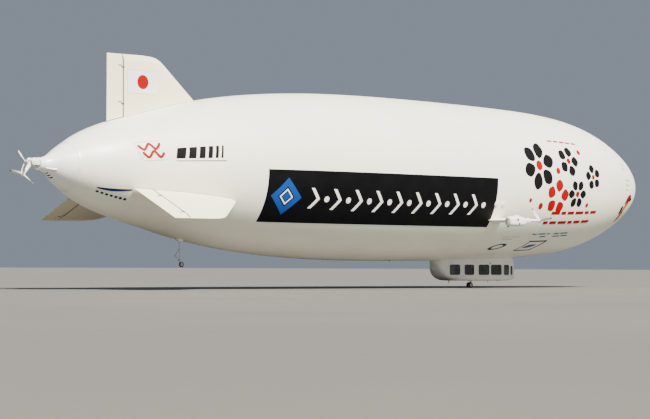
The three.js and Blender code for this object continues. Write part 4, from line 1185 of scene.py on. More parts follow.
pylonRows = [(2.3, 5.48, 4.38, 0.15), (3.3, 5.29, 4.5, 0.105), (3.9, 5.16, 4.62, 0.092), (3.9747, 5.16, 4.62, 0.092)]
cover = {"Aft": 4.65, "Forward": 5.115, "angle": 107.5}


def roundFrame(x, y, half, top, bottom, topCorner, lowCorner, steps=6):
    high, low = top - topCorner, bottom + lowCorner
    corners = ((1, high, topCorner), (-1, high, topCorner), (-1, low, lowCorner), (1, low, lowCorner))
    centres = [(y + hand * (half - radius), z, radius) for hand, z, radius in corners]
    return [(x, across, up) for across, up in roundCorners(centres, steps)]


def nacelleRing(offset, inset=0.0):
    half, top, bottom = columnsThrough(nacelleRows, offset)
    corner = min(half, (top - bottom) / 2) * 0.74
    return roundFrame(engine["x"] + offset, -engine["y"], half - inset, engine["z"] + top - inset,
                      engine["z"] + bottom + inset, corner - inset, corner * 0.9 - inset)


def nacelleBand(offset, width, lift=0.0012):
    return lofted("band", [nacelleRing(offset, 0.004), nacelleRing(offset, -lift), nacelleRing(offset + width, -lift),
                           nacelleRing(offset + width, 0.004)], capped=False)


def makeNacelle(x, y, z):
    shell = lofted("nacelleStarboard", [nacelleRing(o) for o in nacelleStations])
    cut(shell, lofted("inside", [nacelleRing(o, engine["wall"]) for o in nacelleStations[4:-1]]))
    for offset, rise, radius in ducts:
        cut(shell, rod("bore", (x + offset, y - 0.14, z + rise), (x + offset, y - 0.3, z + rise), radius, sides=40))
    finished(bevelled(shell, 0.0025, 2, 50), whitePaint, replaces=["nacelle_starboard"])
    bands = [nacelleBand(*place) for place in ((-1.115, 0.006), (-1.0, 0.006), (-0.47, 0.005), (-0.235, 0.005))]
    for hand in hands:
        line = [(x - 0.95, y + hand * 0.2262, z + 0.09), (x - 0.52, y + hand * 0.2262, z + 0.09)]
        bands.append(wire("panel", line, 0.0022))
    together("nacelleSeamsStarboard", bands, seamGrey)


def makeCheeks(x, y, z):
    parts = []
    for hand in hands:
        face = y + hand * cheek["outer"]
        low, high = sorted((y + hand * cheek["inner"], face))
        parts.append(block("plate", (x - 0.19, low + 0.001, z - 0.078), (x, high - 0.001, z + 0.074), 0.006))
        parts.append(rod("eye", (x, low, z), (x, high, z), cheek["radius"], sides=56, bevel=0.006))
        parts.append(rod("cap", (x, face, z), (x, face + hand * 0.012, z), 0.066, 0.062, 40, 0.003))
        parts.append(boltRing((x, face + hand * 0.012, z), yAxis, 0.049, 6, (0, hand, 0), 0.006, 0.005))
    together("cheeksStarboard", parts, whitePaint)


def makeDucts(x, y, z):
    dark, outward = [], (0, -1, 0)
    for offset, rise, radius in ducts:
        place = (x + offset, y - 0.2, z + rise)
        lining = [(0.03, radius - 0.0005), (0.03, radius - 0.006), (-0.12, radius - 0.008), (-0.12, radius - 0.001)]
        plug = [(-0.1, 0.0), (-0.1, radius - 0.004), (-0.106, radius - 0.004), (-0.106, 0.0)]
        dark += [turned("lining", lining, place, outward, 40, True), turned("plug", plug, place, outward, 40)]
    for k in range(5):
        at = x - 0.845 + 0.018 * k
        dark.append(block("vane", (at + 0.01, y - 0.2, z - 0.045), (at + 0.012, y - 0.14, z + 0.055)))
    together("ductsStarboard", dark, darkMetal)
    scoop = lofted("scoopStarboard", [
        [(x - 0.9 + 0.34 * t, y + a * (0.03 + 0.045 * t), z + 0.16 + (0.012 + 0.05 * t) * b) for a, b in scoopSection]
        for t in (0, 0.2, 0.45, 0.7, 0.88, 1)])
    edit(scoop, "DESELECT")
    leaveEdit()
    for face in scoop.data.polygons:
        face.select = face.normal.x > 0.9
    bpy.ops.object.mode_set(mode="EDIT")
    bpy.ops.mesh.inset(thickness=0.008)
    bpy.ops.mesh.extrude_region_move(TRANSFORM_OT_translate={"value": (-0.08, 0, 0)})
    leaveEdit()
    finished(scoop, whitePaint)
    pipe = [(x - 1.02, y + 0.1, z - 0.25), (x - 1.06, y + 0.1, z - 0.285), (x - 1.14, y + 0.1, z - 0.292)]
    finished(wire("exhaustStarboard", curveThrough(pipe, 6), 0.026, roundness=4), darkMetal, degrees=50)


def makeSideHead():
    pin = Vector((engine["x"], -engine["y"], engine["z"]))
    barrel = bothEnds([(-0.132, 0.0), (-0.132, 0.086), (-0.127, 0.093), (-0.1, 0.095), (-0.095, 0.1), (-0.075, 0.1),
                       (-0.07, 0.094)])
    reach = engine["reach"] - propellers["side"]["back"] - fitGap
    arm = [(0.0, 0.0), (0.0, 0.079), (0.09, 0.08), (0.125, 0.084), (0.15, 0.084), (0.155, 0.076), (0.3, 0.069),
           (0.5, 0.0605), (0.66, 0.054), (0.69, 0.06), (0.735, 0.06), (0.74, 0.051), (0.85, 0.047), (0.862, 0.042),
           (reach - 0.004, 0.038), (reach, 0.035), (reach, 0.0)]
    journal = Vector((0, cheek["inner"] - fitGap, 0))
    together("swivelBodyStarboard", [
        turned("barrel", barrel, pin, yAxis, 56), turned("arm", arm, pin),
        rod("journals", pin - journal, pin + journal, 0.055, sides=40),
        boltRing(pin + Vector((0.15, 0, 0)), xAxis, 0.0775, 8, xAxis, 0.0055, 0.006),
    ], whitePaint, "starboard_head", ["swivel_starboard"])


def pylonPlace(out, share, hand, flare=1.0):
    lead, trail, half = columnsThrough(pylonRows, out)
    return lead + (trail - lead) * share, engine["z"] + hand * 10 * half * sectionCurve(share) * flare


def pylonRing(out):
    flare = 1.0 + 0.22 * max(out - 3.86, 0) / 0.115
    upper, lower = ([pylonPlace(out, share, hand, flare) for share in eased(16)] for hand in (1, -1))
    return [(x, -out, z) for x, z in upper + list(reversed(lower[1:-1]))]


def makePylon():
    strut = lofted("pylonStarboard", [pylonRing(out) for out in evenly(2.3, 3.9747, 12)])
    cut(strut, hullTool((4.0, 4.5, 5.0, 5.5, 6.0), -0.03))
    finished(strut, whitePaint, replaces=["pylon_starboard"])
    bead = []
    for k in range(48):
        t = math.tau * k / 48
        out = 3.0
        for _ in range(4):  # closer to the hull's skin each time
            x, z = pylonPlace(out, 0.5 - 0.5 * math.cos(t), 1 if t < math.pi else -1)
            out = math.sqrt(hullRadius(x) ** 2 - z * z)
        bead.append((x, -out - 0.002, z))
    finished(wire("pylonBeadStarboard", bead, 0.01, closed=True), seamGrey, degrees=None)


def makeCovers():
    rows = [(0.0, 0.0), (0.0, 0.125), (0.026, 0.1245), (0.032, 0.121)]
    rows += [(0.034 + 0.022 * math.sin(t), 0.112 * math.cos(t)) for t in (math.pi / 2 * k / 8 for k in range(8))]
    for label in ("Aft", "Forward"):
        foot = onHull(cover[label], cover["angle"], -0.012)
        away = (onHull(cover[label], cover["angle"], 0.1) - foot).normalized()
        dome = turned("dome", [*rows, (0.056, 0.0)], foot, away, 56)
        heads = boltRing(foot + away * 0.031, away, 0.1165, 10, away, 0.0045, 0.004)
        together(f"cover{label}Starboard", [dome, heads], whitePaint, replaces=[f"cover_{label.lower()}_starboard"])


def copyToPort():
    for name in ("cheeks", "nacelleSeams", "scoop", "pylonBead", "ducts", "exhaust"):
        onPort(bpy.data.objects[name + "Starboard"])
    for name, body, node in (("nacelle", "airframe", "nacelle_port"), ("swivelBody", "port_head", "swivel_port"),
                             ("pylon", "airframe", "pylon_port"), ("coverAft", "airframe", "cover_aft_port"),
                             ("coverForward", "airframe", "cover_forward_port")):
        onPort(bpy.data.objects[name + "Starboard"], body, [node])


for make in (makeNacelle, makeCheeks, makeDucts):
    make(engine["x"], -engine["y"], engine["z"])
makeSideHead()
makePylon()
makeCovers()
for hand, side in zip(hands, ("starboard", "port")):
    middle = Matrix.Translation((engine["x"] + engine["reach"], hand * engine["y"], engine["z"]))
    makePropeller(side + "Screw", "side", 51, middle, side + "_screw", "propeller_" + side, hand > 0)
copyToPort()
print("engines done")

# Cabin: one smooth shell, with windows, glass, seals and a door cut from it

gondolaRows = [
    (4.25, 0.08, -3.3, -3.6, 0.06), (4.3, 0.235, -3.3, -3.79, 0.12), (4.42, 0.39, -3.3, -4.0, 0.17),
    (4.7, 0.525, -3.3, -4.24, 0.2), (5.1, 0.562, -3.3, -4.372, 0.19), (5.6, 0.562, -3.3, -4.4, 0.17),
    (8.35, 0.562, -3.3, -4.4, 0.17), (8.8, 0.535, -3.3, -4.392, 0.17), (9.1, 0.47, -3.32, -4.365, 0.16),
    (9.26, 0.405, -3.44, -4.335, 0.15), (9.4, 0.315, -3.74, -4.285, 0.13), (9.46, 0.262, -3.89, -4.252, 0.1),
    (9.492, 0.19, -3.995, -4.216, 0.08), (9.506, 0.1, -4.06, -4.17, 0.045),
]  # place, half width, top, bottom, lower corner
cabin = {
    "tail": 4.25, "nose": 9.506, "wall": 0.036, "high": -3.695, "low": -4.125, "corner": 0.07,
    "windows": [(5.72, 6.33), (6.67, 7.365), (7.51, 8.22), (8.42, 8.76)],
    "aft": {-1: (4.76, 5.385), 1: (5.125, 5.555)},
    "quarter": (8.93, 9.09, -3.745, -4.12, 0.05), "screen": (0.011, 0.33, -3.56, -4.11, 0.05), "screenAft": 9.15,
    "glassDepth": 0.009, "glass": 0.006, "seal": 0.016,
}
doorway = {"aft": 5.06, "fore": 5.62, "low": -4.27, "high": -3.548, "gap": 0.009, "inner": 0.47, "leafInner": 0.508}


def gondolaRing(x, inset=0.0):
    half, top, bottom, corner = columnsThrough(gondolaRows, x)
    blend = min(max((x - 8.7) / 0.6, 0.0), 1.0)
    topCorner = min(0.05 + 0.1 * blend, half - inset - 0.01, (top - bottom) / 2 - 0.02)
    lowCorner = max(min(corner, (top - bottom) / 2 - 0.01) - inset, 0.012)
    high = top + 0.02 if inset > 0 and x < 9.2 else top - inset
    return roundFrame(x, 0, half - inset, high, bottom + inset, max(topCorner, 0.012), lowCorner, 8)


def gondolaLoft(name, inset=0.0, low=cabin["tail"], high=cabin["nose"]):
    stations = [low + (5.6 - low) * (k / 18) ** 1.7 for k in range(19)] + evenly(5.6, 8.35, 6)[1:]
    stations += [8.35 + (high - 8.35) * math.sin(math.pi / 2 * k / 22) for k in range(1, 23)]
    return lofted(name, [gondolaRing(x, inset) for x in stations])


def cabinSkin(name, outer, inner, follow=0):  # between two insets; follow: the nose moves with them
    nose = cabin["nose"]
    return cut(gondolaLoft(name, outer, high=nose - follow * outer),
               gondolaLoft("inside", inner, high=nose - follow * inner))


def within(piece, tool):
    return cut(piece, tool, "INTERSECT")


def frameOutline(low, high, top, bottom, corner, grow=0.0):
    places = ((high - corner, top - corner), (low + corner, top - corner), (low + corner, bottom + corner),
              (high - corner, bottom + corner))
    return roundCorners([(across, up, corner + grow) for across, up in places], 8)


def opening(hand, aft, fore, top=cabin["high"], bottom=cabin["low"], corner=cabin["corner"], grow=0.0):
    points = frameOutline(aft, fore, top, bottom, corner, grow)
    return lofted("opening", [[(x, hand * y, z) for x, z in points] for y in (0.05, 0.8)])


def aftOpening(hand, grow=0.0):  # to port it is the door's window
    return opening(hand, *cabin["aft"][hand], grow=grow)


def sideOpenings(hand, grow=0.0, doorToo=True):
    pieces = [opening(hand, aft, fore, grow=grow) for aft, fore in cabin["windows"]]
    if hand < 0 or doorToo:
        pieces.append(aftOpening(hand, grow))
    return [*pieces, opening(hand, *cabin["quarter"], grow)]


def frontOpenings(grow=0.0):
    points = frameOutline(*cabin["screen"], grow)
    return [lofted("opening", [[(x, hand * y, z) for y, z in points] for x in (cabin["screenAft"] - grow, 9.9)])
            for hand in hands]


def doorBlock(grow, inner):
    low = (doorway["aft"] - grow, inner, doorway["low"] - grow)
    return block("doorCut", low, (doorway["fore"] + grow, 0.8, doorway["high"] + grow), 0.03, 5)


def makeCabinShell():
    wall = cabin["wall"]
    shell = gondolaLoft("cabinShell")
    cut(shell, gondolaLoft("inside", wall, cabin["tail"] + wall, cabin["nose"] - wall))
    cut(shell, hullTool(evenly(3.8, 9.9, 12), -0.03, 160))
    leaf = copied(shell, "doorLeaf")
    cut(shell, doorBlock(0.0, doorway["inner"]))
    cut(shell, joined("openings", sideOpenings(-1) + sideOpenings(1, doorToo=False) + frontOpenings()))
    finished(bevelled(shell, 0.003, 2, 60), whitePaint, degrees=32, replaces=[
        "gondola_belly", "gondola_wall_starboard", "gondola_wall_port", "gondola_tail", "gondola_nose"])
    within(leaf, doorBlock(-doorway["gap"], doorway["leafInner"]))
    cut(leaf, aftOpening(1))
    finished(bevelled(leaf, 0.003, 2, 60), whitePaint, "door", ["cabin_door"], 32)


def makeGlass():
    depth, grow = cabin["glassDepth"], 0.002
    pane = cabinSkin("pane", depth, depth + cabin["glass"], 1)
    for name, body, node, tools in (
            ("glassStarboard", "airframe", "glazing_starboard", sideOpenings(-1, grow)),
            ("glassPort", "airframe", "glazing_port", sideOpenings(1, grow, False)),
            ("glassFront", "airframe", "windscreen", frontOpenings(grow)),
            ("glassDoor", "door", "door_glass", [aftOpening(1, grow)])):
        finished(within(copied(pane, name), joined("openings", tools)), tintedGlass, body, [node], 32)
    bpy.data.objects.remove(pane)


def makeSeals():
    width, lap = cabin["seal"], -0.006
    proud = cabinSkin("proud", -0.0045, 0.012, 1)
    for name, body, outside, inside in (
            ("sealsStarboard", "airframe", sideOpenings(-1, width), sideOpenings(-1, lap)),
            ("sealsPort", "airframe", sideOpenings(1, width, False), sideOpenings(1, lap, False)),
            ("sealsFront", "airframe", frontOpenings(0.010), frontOpenings(lap)),
            ("sealDoor", "door", [aftOpening(1, width)], [aftOpening(1, lap)])):
        seal = joined(name, [within(copied(proud, "part"), tool) for tool in outside])
        cut(seal, joined("insideCut", inside))
        finished(bevelled(seal, 0.0015, 2, 50), sealRubber, body, degrees=32)
    bpy.data.objects.remove(proud)


makeCabinShell()
makeGlass()
makeSeals()
print("cabin done")

# Cabin furniture: padded seats, floor, lining and console

seat = {"width": 0.215, "depth": 0.215, "pan": 0.06, "height": 0.215, "back": 0.33, "backDepth": 0.052,
        "swell": 0.007}
seatFile = {"first": 5.8, "pitch": 0.465, "count": 6, "offset": 0.345, "base": -4.3057, "rail": -4.3197}
pilots = {"x": 8.56, "offset": 0.225}


def swollen(pad, cap, pressure=4.0):  # the pad is blown up as cloth, and no point moves further than cap
    applied(pad, "REMESH", mode="VOXEL", voxel_size=0.0105)
    rest = [vertex.co.copy() for vertex in pad.data.vertices]
    pick(pad)
    cloth = pad.modifiers.new("Cloth", "CLOTH")
    cloth.settings.use_pressure = True
    cloth.settings.uniform_pressure_force = pressure
    cloth.settings.effector_weights.gravity = 0
    cloth.settings.tension_stiffness = 25
    cloth.settings.compression_stiffness = 25
    scene = bpy.context.scene
    for k in range(1, 21):
        scene.frame_set(k)
    shaped = pad.evaluated_get(bpy.context.evaluated_depsgraph_get())
    grown = [vertex.co.copy() for vertex in shaped.data.vertices]
    pad.modifiers.remove(cloth)
    scene.frame_set(1)
    for vertex, start, end in zip(pad.data.vertices, rest, grown):
        shift = end - start
        vertex.co = start + shift * min(1.0, cap / max(shift.length, 1e-9))
    return applied(pad, "SUBSURF", levels=1, render_levels=1)


def channelled(pad, axis, lines, depth=0.0035, width=0.006):  # sewn channels across a pad
    for vertex in pad.data.vertices:
        for line in lines:
            away = (vertex.co[axis] - line) / width
            vertex.co += vertex.normal * -depth * math.exp(-away * away)
    return pad


def makePads(top, half, deep, rear):
    grow = seat["swell"]
    front = rear + seat["backDepth"] - grow
    pan = block("panPad", (-deep + 0.01, -half + grow, top - seat["pan"] + 0.012),
                (deep - grow, half - grow, top - grow), 0.014, 3)
    back = block("backPad", (rear + 0.016, -half + grow, top + 0.012), (front, half - grow, top + 0.245), 0.014, 3)
    rest = block("headPad", (rear + 0.014, -half * 0.62, top + 0.258),
                 (front - 0.002, half * 0.62, top + seat["back"] - grow), 0.012, 3)
    return joined("seatPads", [channelled(swollen(pan, grow), 0, (-0.03, 0.035)),
                               channelled(swollen(back, grow), 2, (top + 0.08, top + 0.16)),
                               swollen(rest, grow * 0.8)])


def makeSeat():  # one seat with its pan's centre at the origin in x and y, and z from its rail
    top, half, deep = seat["height"], seat["width"] / 2, seat["depth"] / 2
    rear = -deep - seat["backDepth"] + 0.006
    under = top - seat["pan"]
    parts = [
        block("tray", (-deep - 0.02, -half + 0.004, under - 0.004), (deep - 0.006, half - 0.004, under + 0.016),
              0.006, 3),
        block("shell", (rear, -half + 0.004, under), (rear + 0.018, half - 0.004, top + 0.25), 0.007, 3),
        block("headShell", (rear + 0.004, -0.05, top + 0.24), (rear + 0.016, 0.05, top + seat["back"] - 0.012),
              0.005, 3),
        rod("post", (0, 0, 0.0), (0, 0, under), 0.028, 0.022, 28, 0.003),
        rod("foot", (0, 0, 0.0), (0, 0, 0.012), 0.04, 0.034, 28, 0.002)]
    belt = []
    for hand in hands:
        y = hand * (half - 0.008)
        parts.append(block("armPad", (-deep - 0.01, y - 0.008, top + 0.078), (deep - 0.05, y + 0.008, top + 0.094),
                           0.006, 3))
        parts.append(rod("armPost", (-deep - 0.028, y, top + 0.085), (-deep + 0.01, y, top + 0.085), 0.005, sides=12))
        line = curveThrough([(-deep + 0.02, hand * (half - 0.012), top - 0.004), (-0.03, hand * 0.06, top + 0.0055),
                             (0.0, hand * 0.012, top + 0.0075)], 6)
        corners = ((-0.011, 0), (0.011, 0), (0.011, 0.0016), (-0.011, 0.0016))
        belt.append(lofted("belt", [[(p.x + a, p.y, p.z + b) for a, b in corners] for p in line]))
    buckle = block("seatBuckle", (-0.016, -0.016, top + 0.006), (0.016, 0.016, top + 0.0115), 0.003, 2)
    return makePads(top, half, deep, rear), joined("seatFrame", parts), joined("seatBelts", belt), buckle


def placeSeats():
    parts = makeSeat()
    looks = ((seatCloth, "seat_cloth"), (panelPlastic, "dark_panel"), (panelPlastic, "seat_cloth"),
             (bareMetal, "bare_metal"))
    line = [seatFile["first"] + seatFile["pitch"] * k for k in range(seatFile["count"])]
    rows = {"seats_starboard": [(x, -seatFile["offset"]) for x in line],
            "seats_port": [(x, seatFile["offset"]) for x in line],
            "pilot_seats": [(pilots["x"], hand * pilots["offset"]) for hand in hands]}
    for node, places in rows.items():
        for part, (finish, slot) in zip(parts, looks):
            copies = [moved(copied(part, "copy"), (x, y, seatFile["base"])) for x, y in places]
            piece = joined(part.data.name.split(".")[0] + node.title().replace("_", ""), copies)
            finished(piece, finish, replaces=[node] if part == parts[0] else (), degrees=45, slot=slot)
    for part in parts:
        bpy.data.objects.remove(part)
    low, high = seatFile["rail"], seatFile["base"]
    rails = [block("rail", (line[0] - 0.16, y - 0.022, low), (line[-1] + 0.12, y + 0.022, high), 0.003, 2)
             for y in (-seatFile["offset"], seatFile["offset"])]
    together("seatRails", [*rails, block("tie", (8.53, -0.255, low), (8.59, 0.255, high), 0.003, 2)], bareMetal)


def cabinSlab(name, low, high):  # a flat layer inside the shell
    room = gondolaLoft(name, cabin["wall"] + 0.0005, cabin["tail"] + 0.05, 9.45)
    return within(room, block("slab", low, high))


def makeCabinInside():
    finished(cabinSlab("cabinFloor", (4.6, -0.7, -4.5), (9.3, 0.7, -4.3205)), carpetCloth)
    lining = cabinSlab("cabinLining", (4.4, -0.7, -3.538), (9.18, 0.7, -3.512))
    finished(lining, liningPlastic, replaces=["gondola_roof"])
    together("cabinLights", [
        block("strip", (5.2 + 0.6 * k, -0.03, -3.546), (5.6 + 0.6 * k, 0.03, -3.5365), 0.003, 2) for k in range(6)
    ], clearLens)
    base, aft, fore, top = seatFile["rail"], 8.96, 9.11, -4.08
    profile = [(aft + 0.07, base), (fore, base), (fore, top), (aft + 0.06, top), (aft, top - 0.06),
               (aft + 0.07, top - 0.11)]
    desk = lofted("console", [[(x, y, z) for x, z in profile] for y in (-0.235, 0.235)])
    finished(bevelled(desk, 0.006, 3, 20), panelPlastic, replaces=["instrument_console"])
    together("consoleScreens", [
        moved(block("screen", (-0.036, y - 0.055, -0.002), (0.036, y + 0.055, 0.002), 0.0015, 2),
              (aft + 0.029, 0, top - 0.031), (yAxis, -45, (0, 0, 0))) for y in (-0.155, 0.0, 0.155)], screenGlass)
    sticks = []
    for y in (-0.19, 0.19):
        line = [(8.9, y, -4.319), (8.9, y, -4.2), (8.87, y, -4.12), (8.865, y, -4.08)]
        sticks += [wire("stick", curveThrough(line, 5), 0.007),
                   rod("grip", (8.865, y, -4.09), (8.862, y, -4.03), 0.011, 0.013, 20, 0.004)]
    together("controlSticks", sticks, panelPlastic, degrees=45)


placeSeats()
makeCabinInside()
print("cabin inside done")

# Landing gear: castoring legs and their wheels

mainGear = {"x": 6.75, "wheelX": 6.68, "wheelZ": -4.6, "track": 0.065, "face": -4.4203}
mainOutline = [(0.032, -4.424), (0.032, -4.508), (-0.030, -4.625), (-0.05, -4.637), (-0.09, -4.637), (-0.106, -4.62),
               (-0.106, -4.575), (-0.036, -4.424)]
mainPocket = [(0.012, -4.45), (0.012, -4.5), (-0.045, -4.578), (-0.07, -4.56), (-0.022, -4.45)]
mainStem = [(-4.4206, 0.0), (-4.4206, 0.044), (-4.43, 0.044), (-4.434, 0.034), (-4.452, 0.034), (-4.455, 0.038),
            (-4.468, 0.038), (-4.478, 0.03), (-4.478, 0.0)]
aftGear = {"x": -10.86, "wheelX": -10.75, "wheelZ": -3.73, "arm": 0.049, "knee": (-11.1, -3.39), "fork": -3.558}
aftStrut = [(-2.8003, 0.0), (-2.8003, 0.032), (-2.815, 0.032), (-2.82, 0.024), (-2.838, 0.024), (-2.84, 0.03),
            (-2.888, 0.03), (-2.892, 0.02), (-3.09, 0.02), (-3.094, 0.027), (-3.142, 0.027), (-3.146, 0.02),
            (-3.235, 0.02), (-3.24, 0.024), (-3.252, 0.024), (-3.256, 0.013), (-3.5, 0.013), (-3.506, 0.018),
            (-3.545, 0.018), (-3.545, 0.0)]
tyreSide = [(0.66, 0.56), (0.86, 0.6), (0.97, 0.68), (1, 0.79), (0.97, 0.88), (0.88, 0.945), (0.76, 0.983), (0.66, 1)]
rimSide = [(0.3, 0), (0.62, 0), (0.66, 0.14), (0.62, 0.2), (0.4, 0.24), (0.34, 0.42), (0.5, 0.5), (0.72, 0.55),
           (0.72, 0.575), (0.5, 0.585)]  # shares of the half width and of the radius


def makeWheel(name, radius, half, centre, grooves=3):
    span, tread = half * 0.62, []
    for k in range(grooves):
        at = -span + 2 * span * (k + 0.5) / grooves
        tread += [(at - 0.0022, radius), (at - 0.0016, radius - 0.0035), (at + 0.0016, radius - 0.0035),
                  (at + 0.0022, radius)]
    side = [(-half * a, radius * b) for a, b in tyreSide]
    tyre = turned(name + "Tyre", side + tread + bothEnds(side)[len(side):], centre, yAxis, 64, True)
    rim = turned(name + "Rim", bothEnds([(-half * a, radius * b) for a, b in rimSide]), centre, yAxis, 56)
    nuts = [boltRing(Vector(centre) + Vector((0, hand * half * 0.37, 0)), yAxis, radius * 0.33, 6, (0, hand, 0),
                     0.0045, 0.005) for hand in hands]
    return tyre, rim, joined(name + "Nuts", nuts)


def makeMainGear():
    x, wheelX, wheelZ, face = (mainGear[key] for key in ("x", "wheelX", "wheelZ", "face"))
    rows = [(-4.4003, 0.0), (-4.4003, 0.09), (-4.417, 0.09), (face, 0.086), (face, 0.0)]
    together("mainGearFlange", [
        turned("flange", rows, (x, 0, 0), zAxis, 56),
        boltRing((x, 0, face), zAxis, 0.074, 10, (0, 0, -1), 0.006, 0.0055)], bareMetal, replaces=["main_gear_flange"])
    web = lofted("web", [[(x + a, y, z) for a, z in mainOutline] for y in (-0.0205, 0.0205)])
    parts = [turned("stem", mainStem, (x, 0, 0), zAxis), bevelled(web, 0.006)]
    for hand in hands:
        rib = lofted("rib", [[(x + a, hand * y, z) for a, z in mainPocket] for y in (0.02, 0.0235)])
        parts.append(bevelled(rib, 0.0015, 2))
    parts.append(rod("hub", (wheelX, -0.0225, wheelZ), (wheelX, 0.0225, wheelZ), 0.038, sides=48, bevel=0.003))
    together("mainLeg", parts, bareMetal, "main_strut", ["main_leg"])
    wheels = [makeWheel("main", 0.125, 0.031, (wheelX, hand * mainGear["track"], wheelZ)) for hand in hands]
    rims = [part for _, rim, nuts in wheels for part in (rim, nuts)]
    rims.append(rod("axle", (wheelX, -0.098, wheelZ), (wheelX, 0.098, wheelZ), 0.0175, sides=32, bevel=0.002))
    together("mainTyres", [tyre for tyre, _, _ in wheels], tyreRubber, "main_rollers", ["main_wheels"])
    together("mainRims", rims, whitePaint, "main_rollers")


def aftLink():  # the scissor link behind the strut
    x, (kneeX, kneeZ) = aftGear["x"], aftGear["knee"]
    parts = []
    for (ax, az), (bx, bz) in (((x - 0.018, -3.12), (kneeX, kneeZ)), ((kneeX, kneeZ), (x - 0.012, -3.53))):
        parts += [rod("link", (ax, y, az), (bx, y, bz), 0.006, sides=16) for y in (-0.011, 0.011)]
        middle = ((ax + bx) / 2, (az + bz) / 2)
        parts.append(rod("brace", (middle[0], -0.011, middle[1]), (middle[0], 0.011, middle[1]), 0.0045, sides=12))
    parts.append(rod("kneePin", (kneeX, -0.017, kneeZ), (kneeX, 0.017, kneeZ), 0.01, sides=20, bevel=0.001))
    return parts


def aftTine(y):  # one side of the fork
    x, z = aftGear["x"] + 0.022, aftGear["fork"]
    turns = [math.tau * j / 16 for j in range(16)]
    rings = []
    for t in evenly(0, 1, 8):
        middleX, middleZ = x + (aftGear["wheelX"] - x) * t, z + (aftGear["wheelZ"] - z) * t
        half = 0.018 - 0.004 * math.sin(math.pi * t)
        rings.append([(middleX + half * math.cos(a), y + 0.0075 * math.sin(a), middleZ + half * 0.5 * math.cos(a))
                      for a in turns])
    return lofted("tine", rings)


def makeAftGear():
    x, wheelX, wheelZ, arm = (aftGear[key] for key in ("x", "wheelX", "wheelZ", "arm"))
    housing = [roundFrame(z, 0, 0.1 - inset, 0.125 - inset, -0.125 + inset, 0.03, 0.03) for z, inset in (
        (-2.66, 0.0), (-2.785, 0.0), (-2.792, 0.002), (-2.8, 0.01))]
    gearBox = lofted("aftGearBox", [[(x + c, b, a) for a, b, c in ring] for ring in housing])
    cut(gearBox, hullTool([x + 0.1 * k - 0.3 for k in range(7)], -0.02, 120))
    finished(gearBox, whitePaint, replaces=["aft_gear_box"])
    crown = block("crown", (x - 0.022, -arm - 0.009, -3.577), (x + 0.058, arm + 0.009, -3.541), 0.007, 3)
    parts = [turned("strut", aftStrut, (x, 0, 0), zAxis, 40), *aftLink(), crown]
    for hand in hands:
        y = hand * arm
        parts += [aftTine(y), rod("eye", (wheelX, y - 0.009, wheelZ), (wheelX, y + 0.009, wheelZ), 0.022, sides=36,
                                  bevel=0.002),
                  bolts("axleNut", [(wheelX, y + hand * 0.009, wheelZ)], (0, hand, 0), 0.012, 0.006)]
    together("aftLeg", parts, bareMetal, "aft_strut", ["aft_leg"])
    tyre, rim, nuts = makeWheel("aft", 0.11, 0.032, (wheelX, 0, wheelZ))
    axle = rod("axle", (wheelX, -arm + 0.0095, wheelZ), (wheelX, arm - 0.0095, wheelZ), 0.009)
    finished(tyre, tyreRubber, "aft_roller", ["aft_wheel"])
    together("aftRim", [rim, nuts, axle], whitePaint, "aft_roller")


makeMainGear()
makeAftGear()
print("gear done")

# Cabin fittings

hinge = {"x": 5.62, "y": 0.576, "places": (-4.14, -3.678), "knuckle": 0.011, "face": 0.5605}
rail = {"x": 4.985, "low": -4.16, "high": -3.74}
lamps = (("lampPort", (7.44, 0.562, -3.62), yAxis, redLens),
         ("lampStarboard", (7.44, -0.562, -3.62), (0, -1, 0), greenLens),
         ("lampTop", onHull(0.6, 0), zAxis, redLens), ("lampBelow", onHull(1.4, 180), (0, 0, -1), redLens),
         ("lampLanding", (8.6, 0, -4.396), (0, 0, -1), clearLens))
lampRim = [(-0.004, 0.0), (-0.004, 0.032), (0.004, 0.032), (0.007, 0.026), (0.007, 0.0)]


def rootBand(low, high):  # a layer over the hull where the cabin meets it
    places = evenly(3.8, 9.9, 24)
    rows = [(x, hullRadius(x) + high) for x in places] + [(x, hullRadius(x) + low) for x in reversed(places)]
    return turned("band", rows, steps=180, closed=True)


def makeCabinTrim():
    flange = within(cabinSkin("rootFlange", -0.009, 0.002), rootBand(-0.02, 0.017))
    finished(bevelled(flange, 0.002, 2, 50), whitePaint)
    finished(within(cabinSkin("rootTape", -0.05, -0.007), rootBand(0.0005, 0.003)), greyFilm)
    window = (-1, *cabin["windows"][3], cabin["high"] + 0.07, cabin["low"], cabin["corner"])
    mark = within(cabinSkin("windowMark", -0.0012, 0.004), opening(*window, 0.055))
    finished(cut(mark, opening(*window, 0.045)), greyFilm, slot="white_paint")


def makeHinges():  # the parts on the door, and those on the wall
    x, y, radius, face = hinge["x"], hinge["y"], hinge["knuckle"], hinge["face"]
    leaf, wall = [], []
    for z in hinge["places"]:
        leaf += [rod("knuckle", (x, y, z - 0.03), (x, y, z + 0.03), radius, sides=28, bevel=0.001),
                 block("strap", (x - 0.09, face, z - 0.021), (x - 0.004, 0.5735, z + 0.021), 0.004, 3),
                 bolts("strapBolts", [(x - 0.074, 0.5735, z), (x - 0.044, 0.5735, z)], yAxis, 0.0055, 0.0035)]
        for low, high in ((z - 0.056, z - 0.0305), (z + 0.0305, z + 0.056)):
            wall += [rod("lug", (x, y, low), (x, y, high), radius, sides=28, bevel=0.001),
                     block("lugRoot", (x + 0.002, face, low), (x + 0.036, 0.578, high), 0.003, 2)]
    return leaf, wall


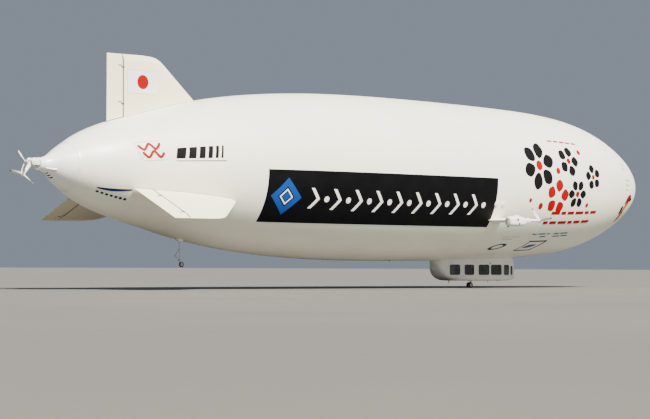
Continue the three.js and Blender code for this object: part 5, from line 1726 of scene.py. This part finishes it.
def makeCabinFittings():
    leaf, wall = makeHinges()
    handle = [(5.11, 0.5585, -4.195), (5.116, 0.5825, -4.195), (5.15, 0.586, -4.195), (5.184, 0.5825, -4.195),
              (5.19, 0.5585, -4.195)]
    leaf += [wire("handle", curveThrough(handle, 5), 0.0055),
             block("handlePlate", (5.098, hinge["face"], -4.213), (5.202, 0.5645, -4.177), 0.0018, 2)]
    together("doorFittings", leaf, bareMetal, "door", degrees=40)
    x, low, high = rail["x"], rail["low"], rail["high"]
    side = max(point[1] for point in gondolaRing(x))
    line = curveThrough([(x, side - 0.004, low), (x, side + 0.034, low + 0.02), (x, side + 0.038, -3.95),
                         (x, side + 0.034, high - 0.02), (x, side - 0.004, high)], 6)
    wall.append(wire("grabRail", line, 0.0085))
    wall += [rod("railFoot", (x, side - 0.003, z), (x, side + 0.006, z), 0.018, 0.014) for z in (low, high)]
    together("cabinFittings", wall, bareMetal, degrees=40)


def makeAntennas():
    turns = [math.tau * j / 20 for j in range(20)]
    parts = []
    for x, low, reach in ((5.3, -4.385, 0.13), (7.95, -4.4, 0.1)):
        rings = []
        for t in evenly(0, 1, 5):
            chord, thick = 0.055 - 0.022 * t, 0.007 - 0.003 * t
            rings.append([(x - 0.045 * t + chord * math.cos(a), thick * math.sin(a), low + 0.006 - reach * t)
                          for a in turns])
        foot = [(low + 0.004, 0.0), (low + 0.004, 0.055), (low - 0.003, 0.055), (low - 0.006, 0.045),
                (low - 0.006, 0.0)]
        parts += [lofted("antenna", rings), turned("antennaFoot", foot, (x, 0, 0), zAxis, 32)]
    together("bellyAntennas", parts, whitePaint)
    probes = []
    for hand in hands:
        line = [(9.17, hand * 0.36, -4.25), (9.2, hand * 0.425, -4.27), (9.25, hand * 0.437, -4.272),
                (9.34, hand * 0.437, -4.272)]
        probes += [wire("probe", curveThrough(line, 6), 0.0048),
                   rod("probeFoot", (9.165, hand * 0.35, -4.243), (9.182, hand * 0.392, -4.26), 0.014, 0.009, 20)]
    together("airProbes", probes, bareMetal, degrees=40)


def makeLamps():
    turns = [math.pi / 2 * k / 8 for k in range(1, 8)]
    dome = [(0.0, 0.0), (0.0, 0.022), *[(0.03 * math.sin(t), 0.022 * math.cos(t)) for t in turns], (0.03, 0.0)]
    rims = []
    for name, place, axis, lens in lamps:
        size, flat = (2.2, 0.35) if name == "lampLanding" else (1.3, 1.0)
        rims.append(turned("rim", [(a * size * 0.7, r * size) for a, r in lampRim], place, axis, 32))
        rows = [(a * size * flat + 0.004, r * size) for a, r in dome]
        finished(turned(name, rows, place, axis, 32), lens, degrees=40)
    together("lampRims", rims, bareMetal, degrees=40)


makeCabinTrim()
makeCabinFittings()
makeAntennas()
makeLamps()
for node in ("tail_engine", "engine_starboard", "engine_port"):
    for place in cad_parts[node].material_slots:
        place.material = castMetal
print("fittings done")
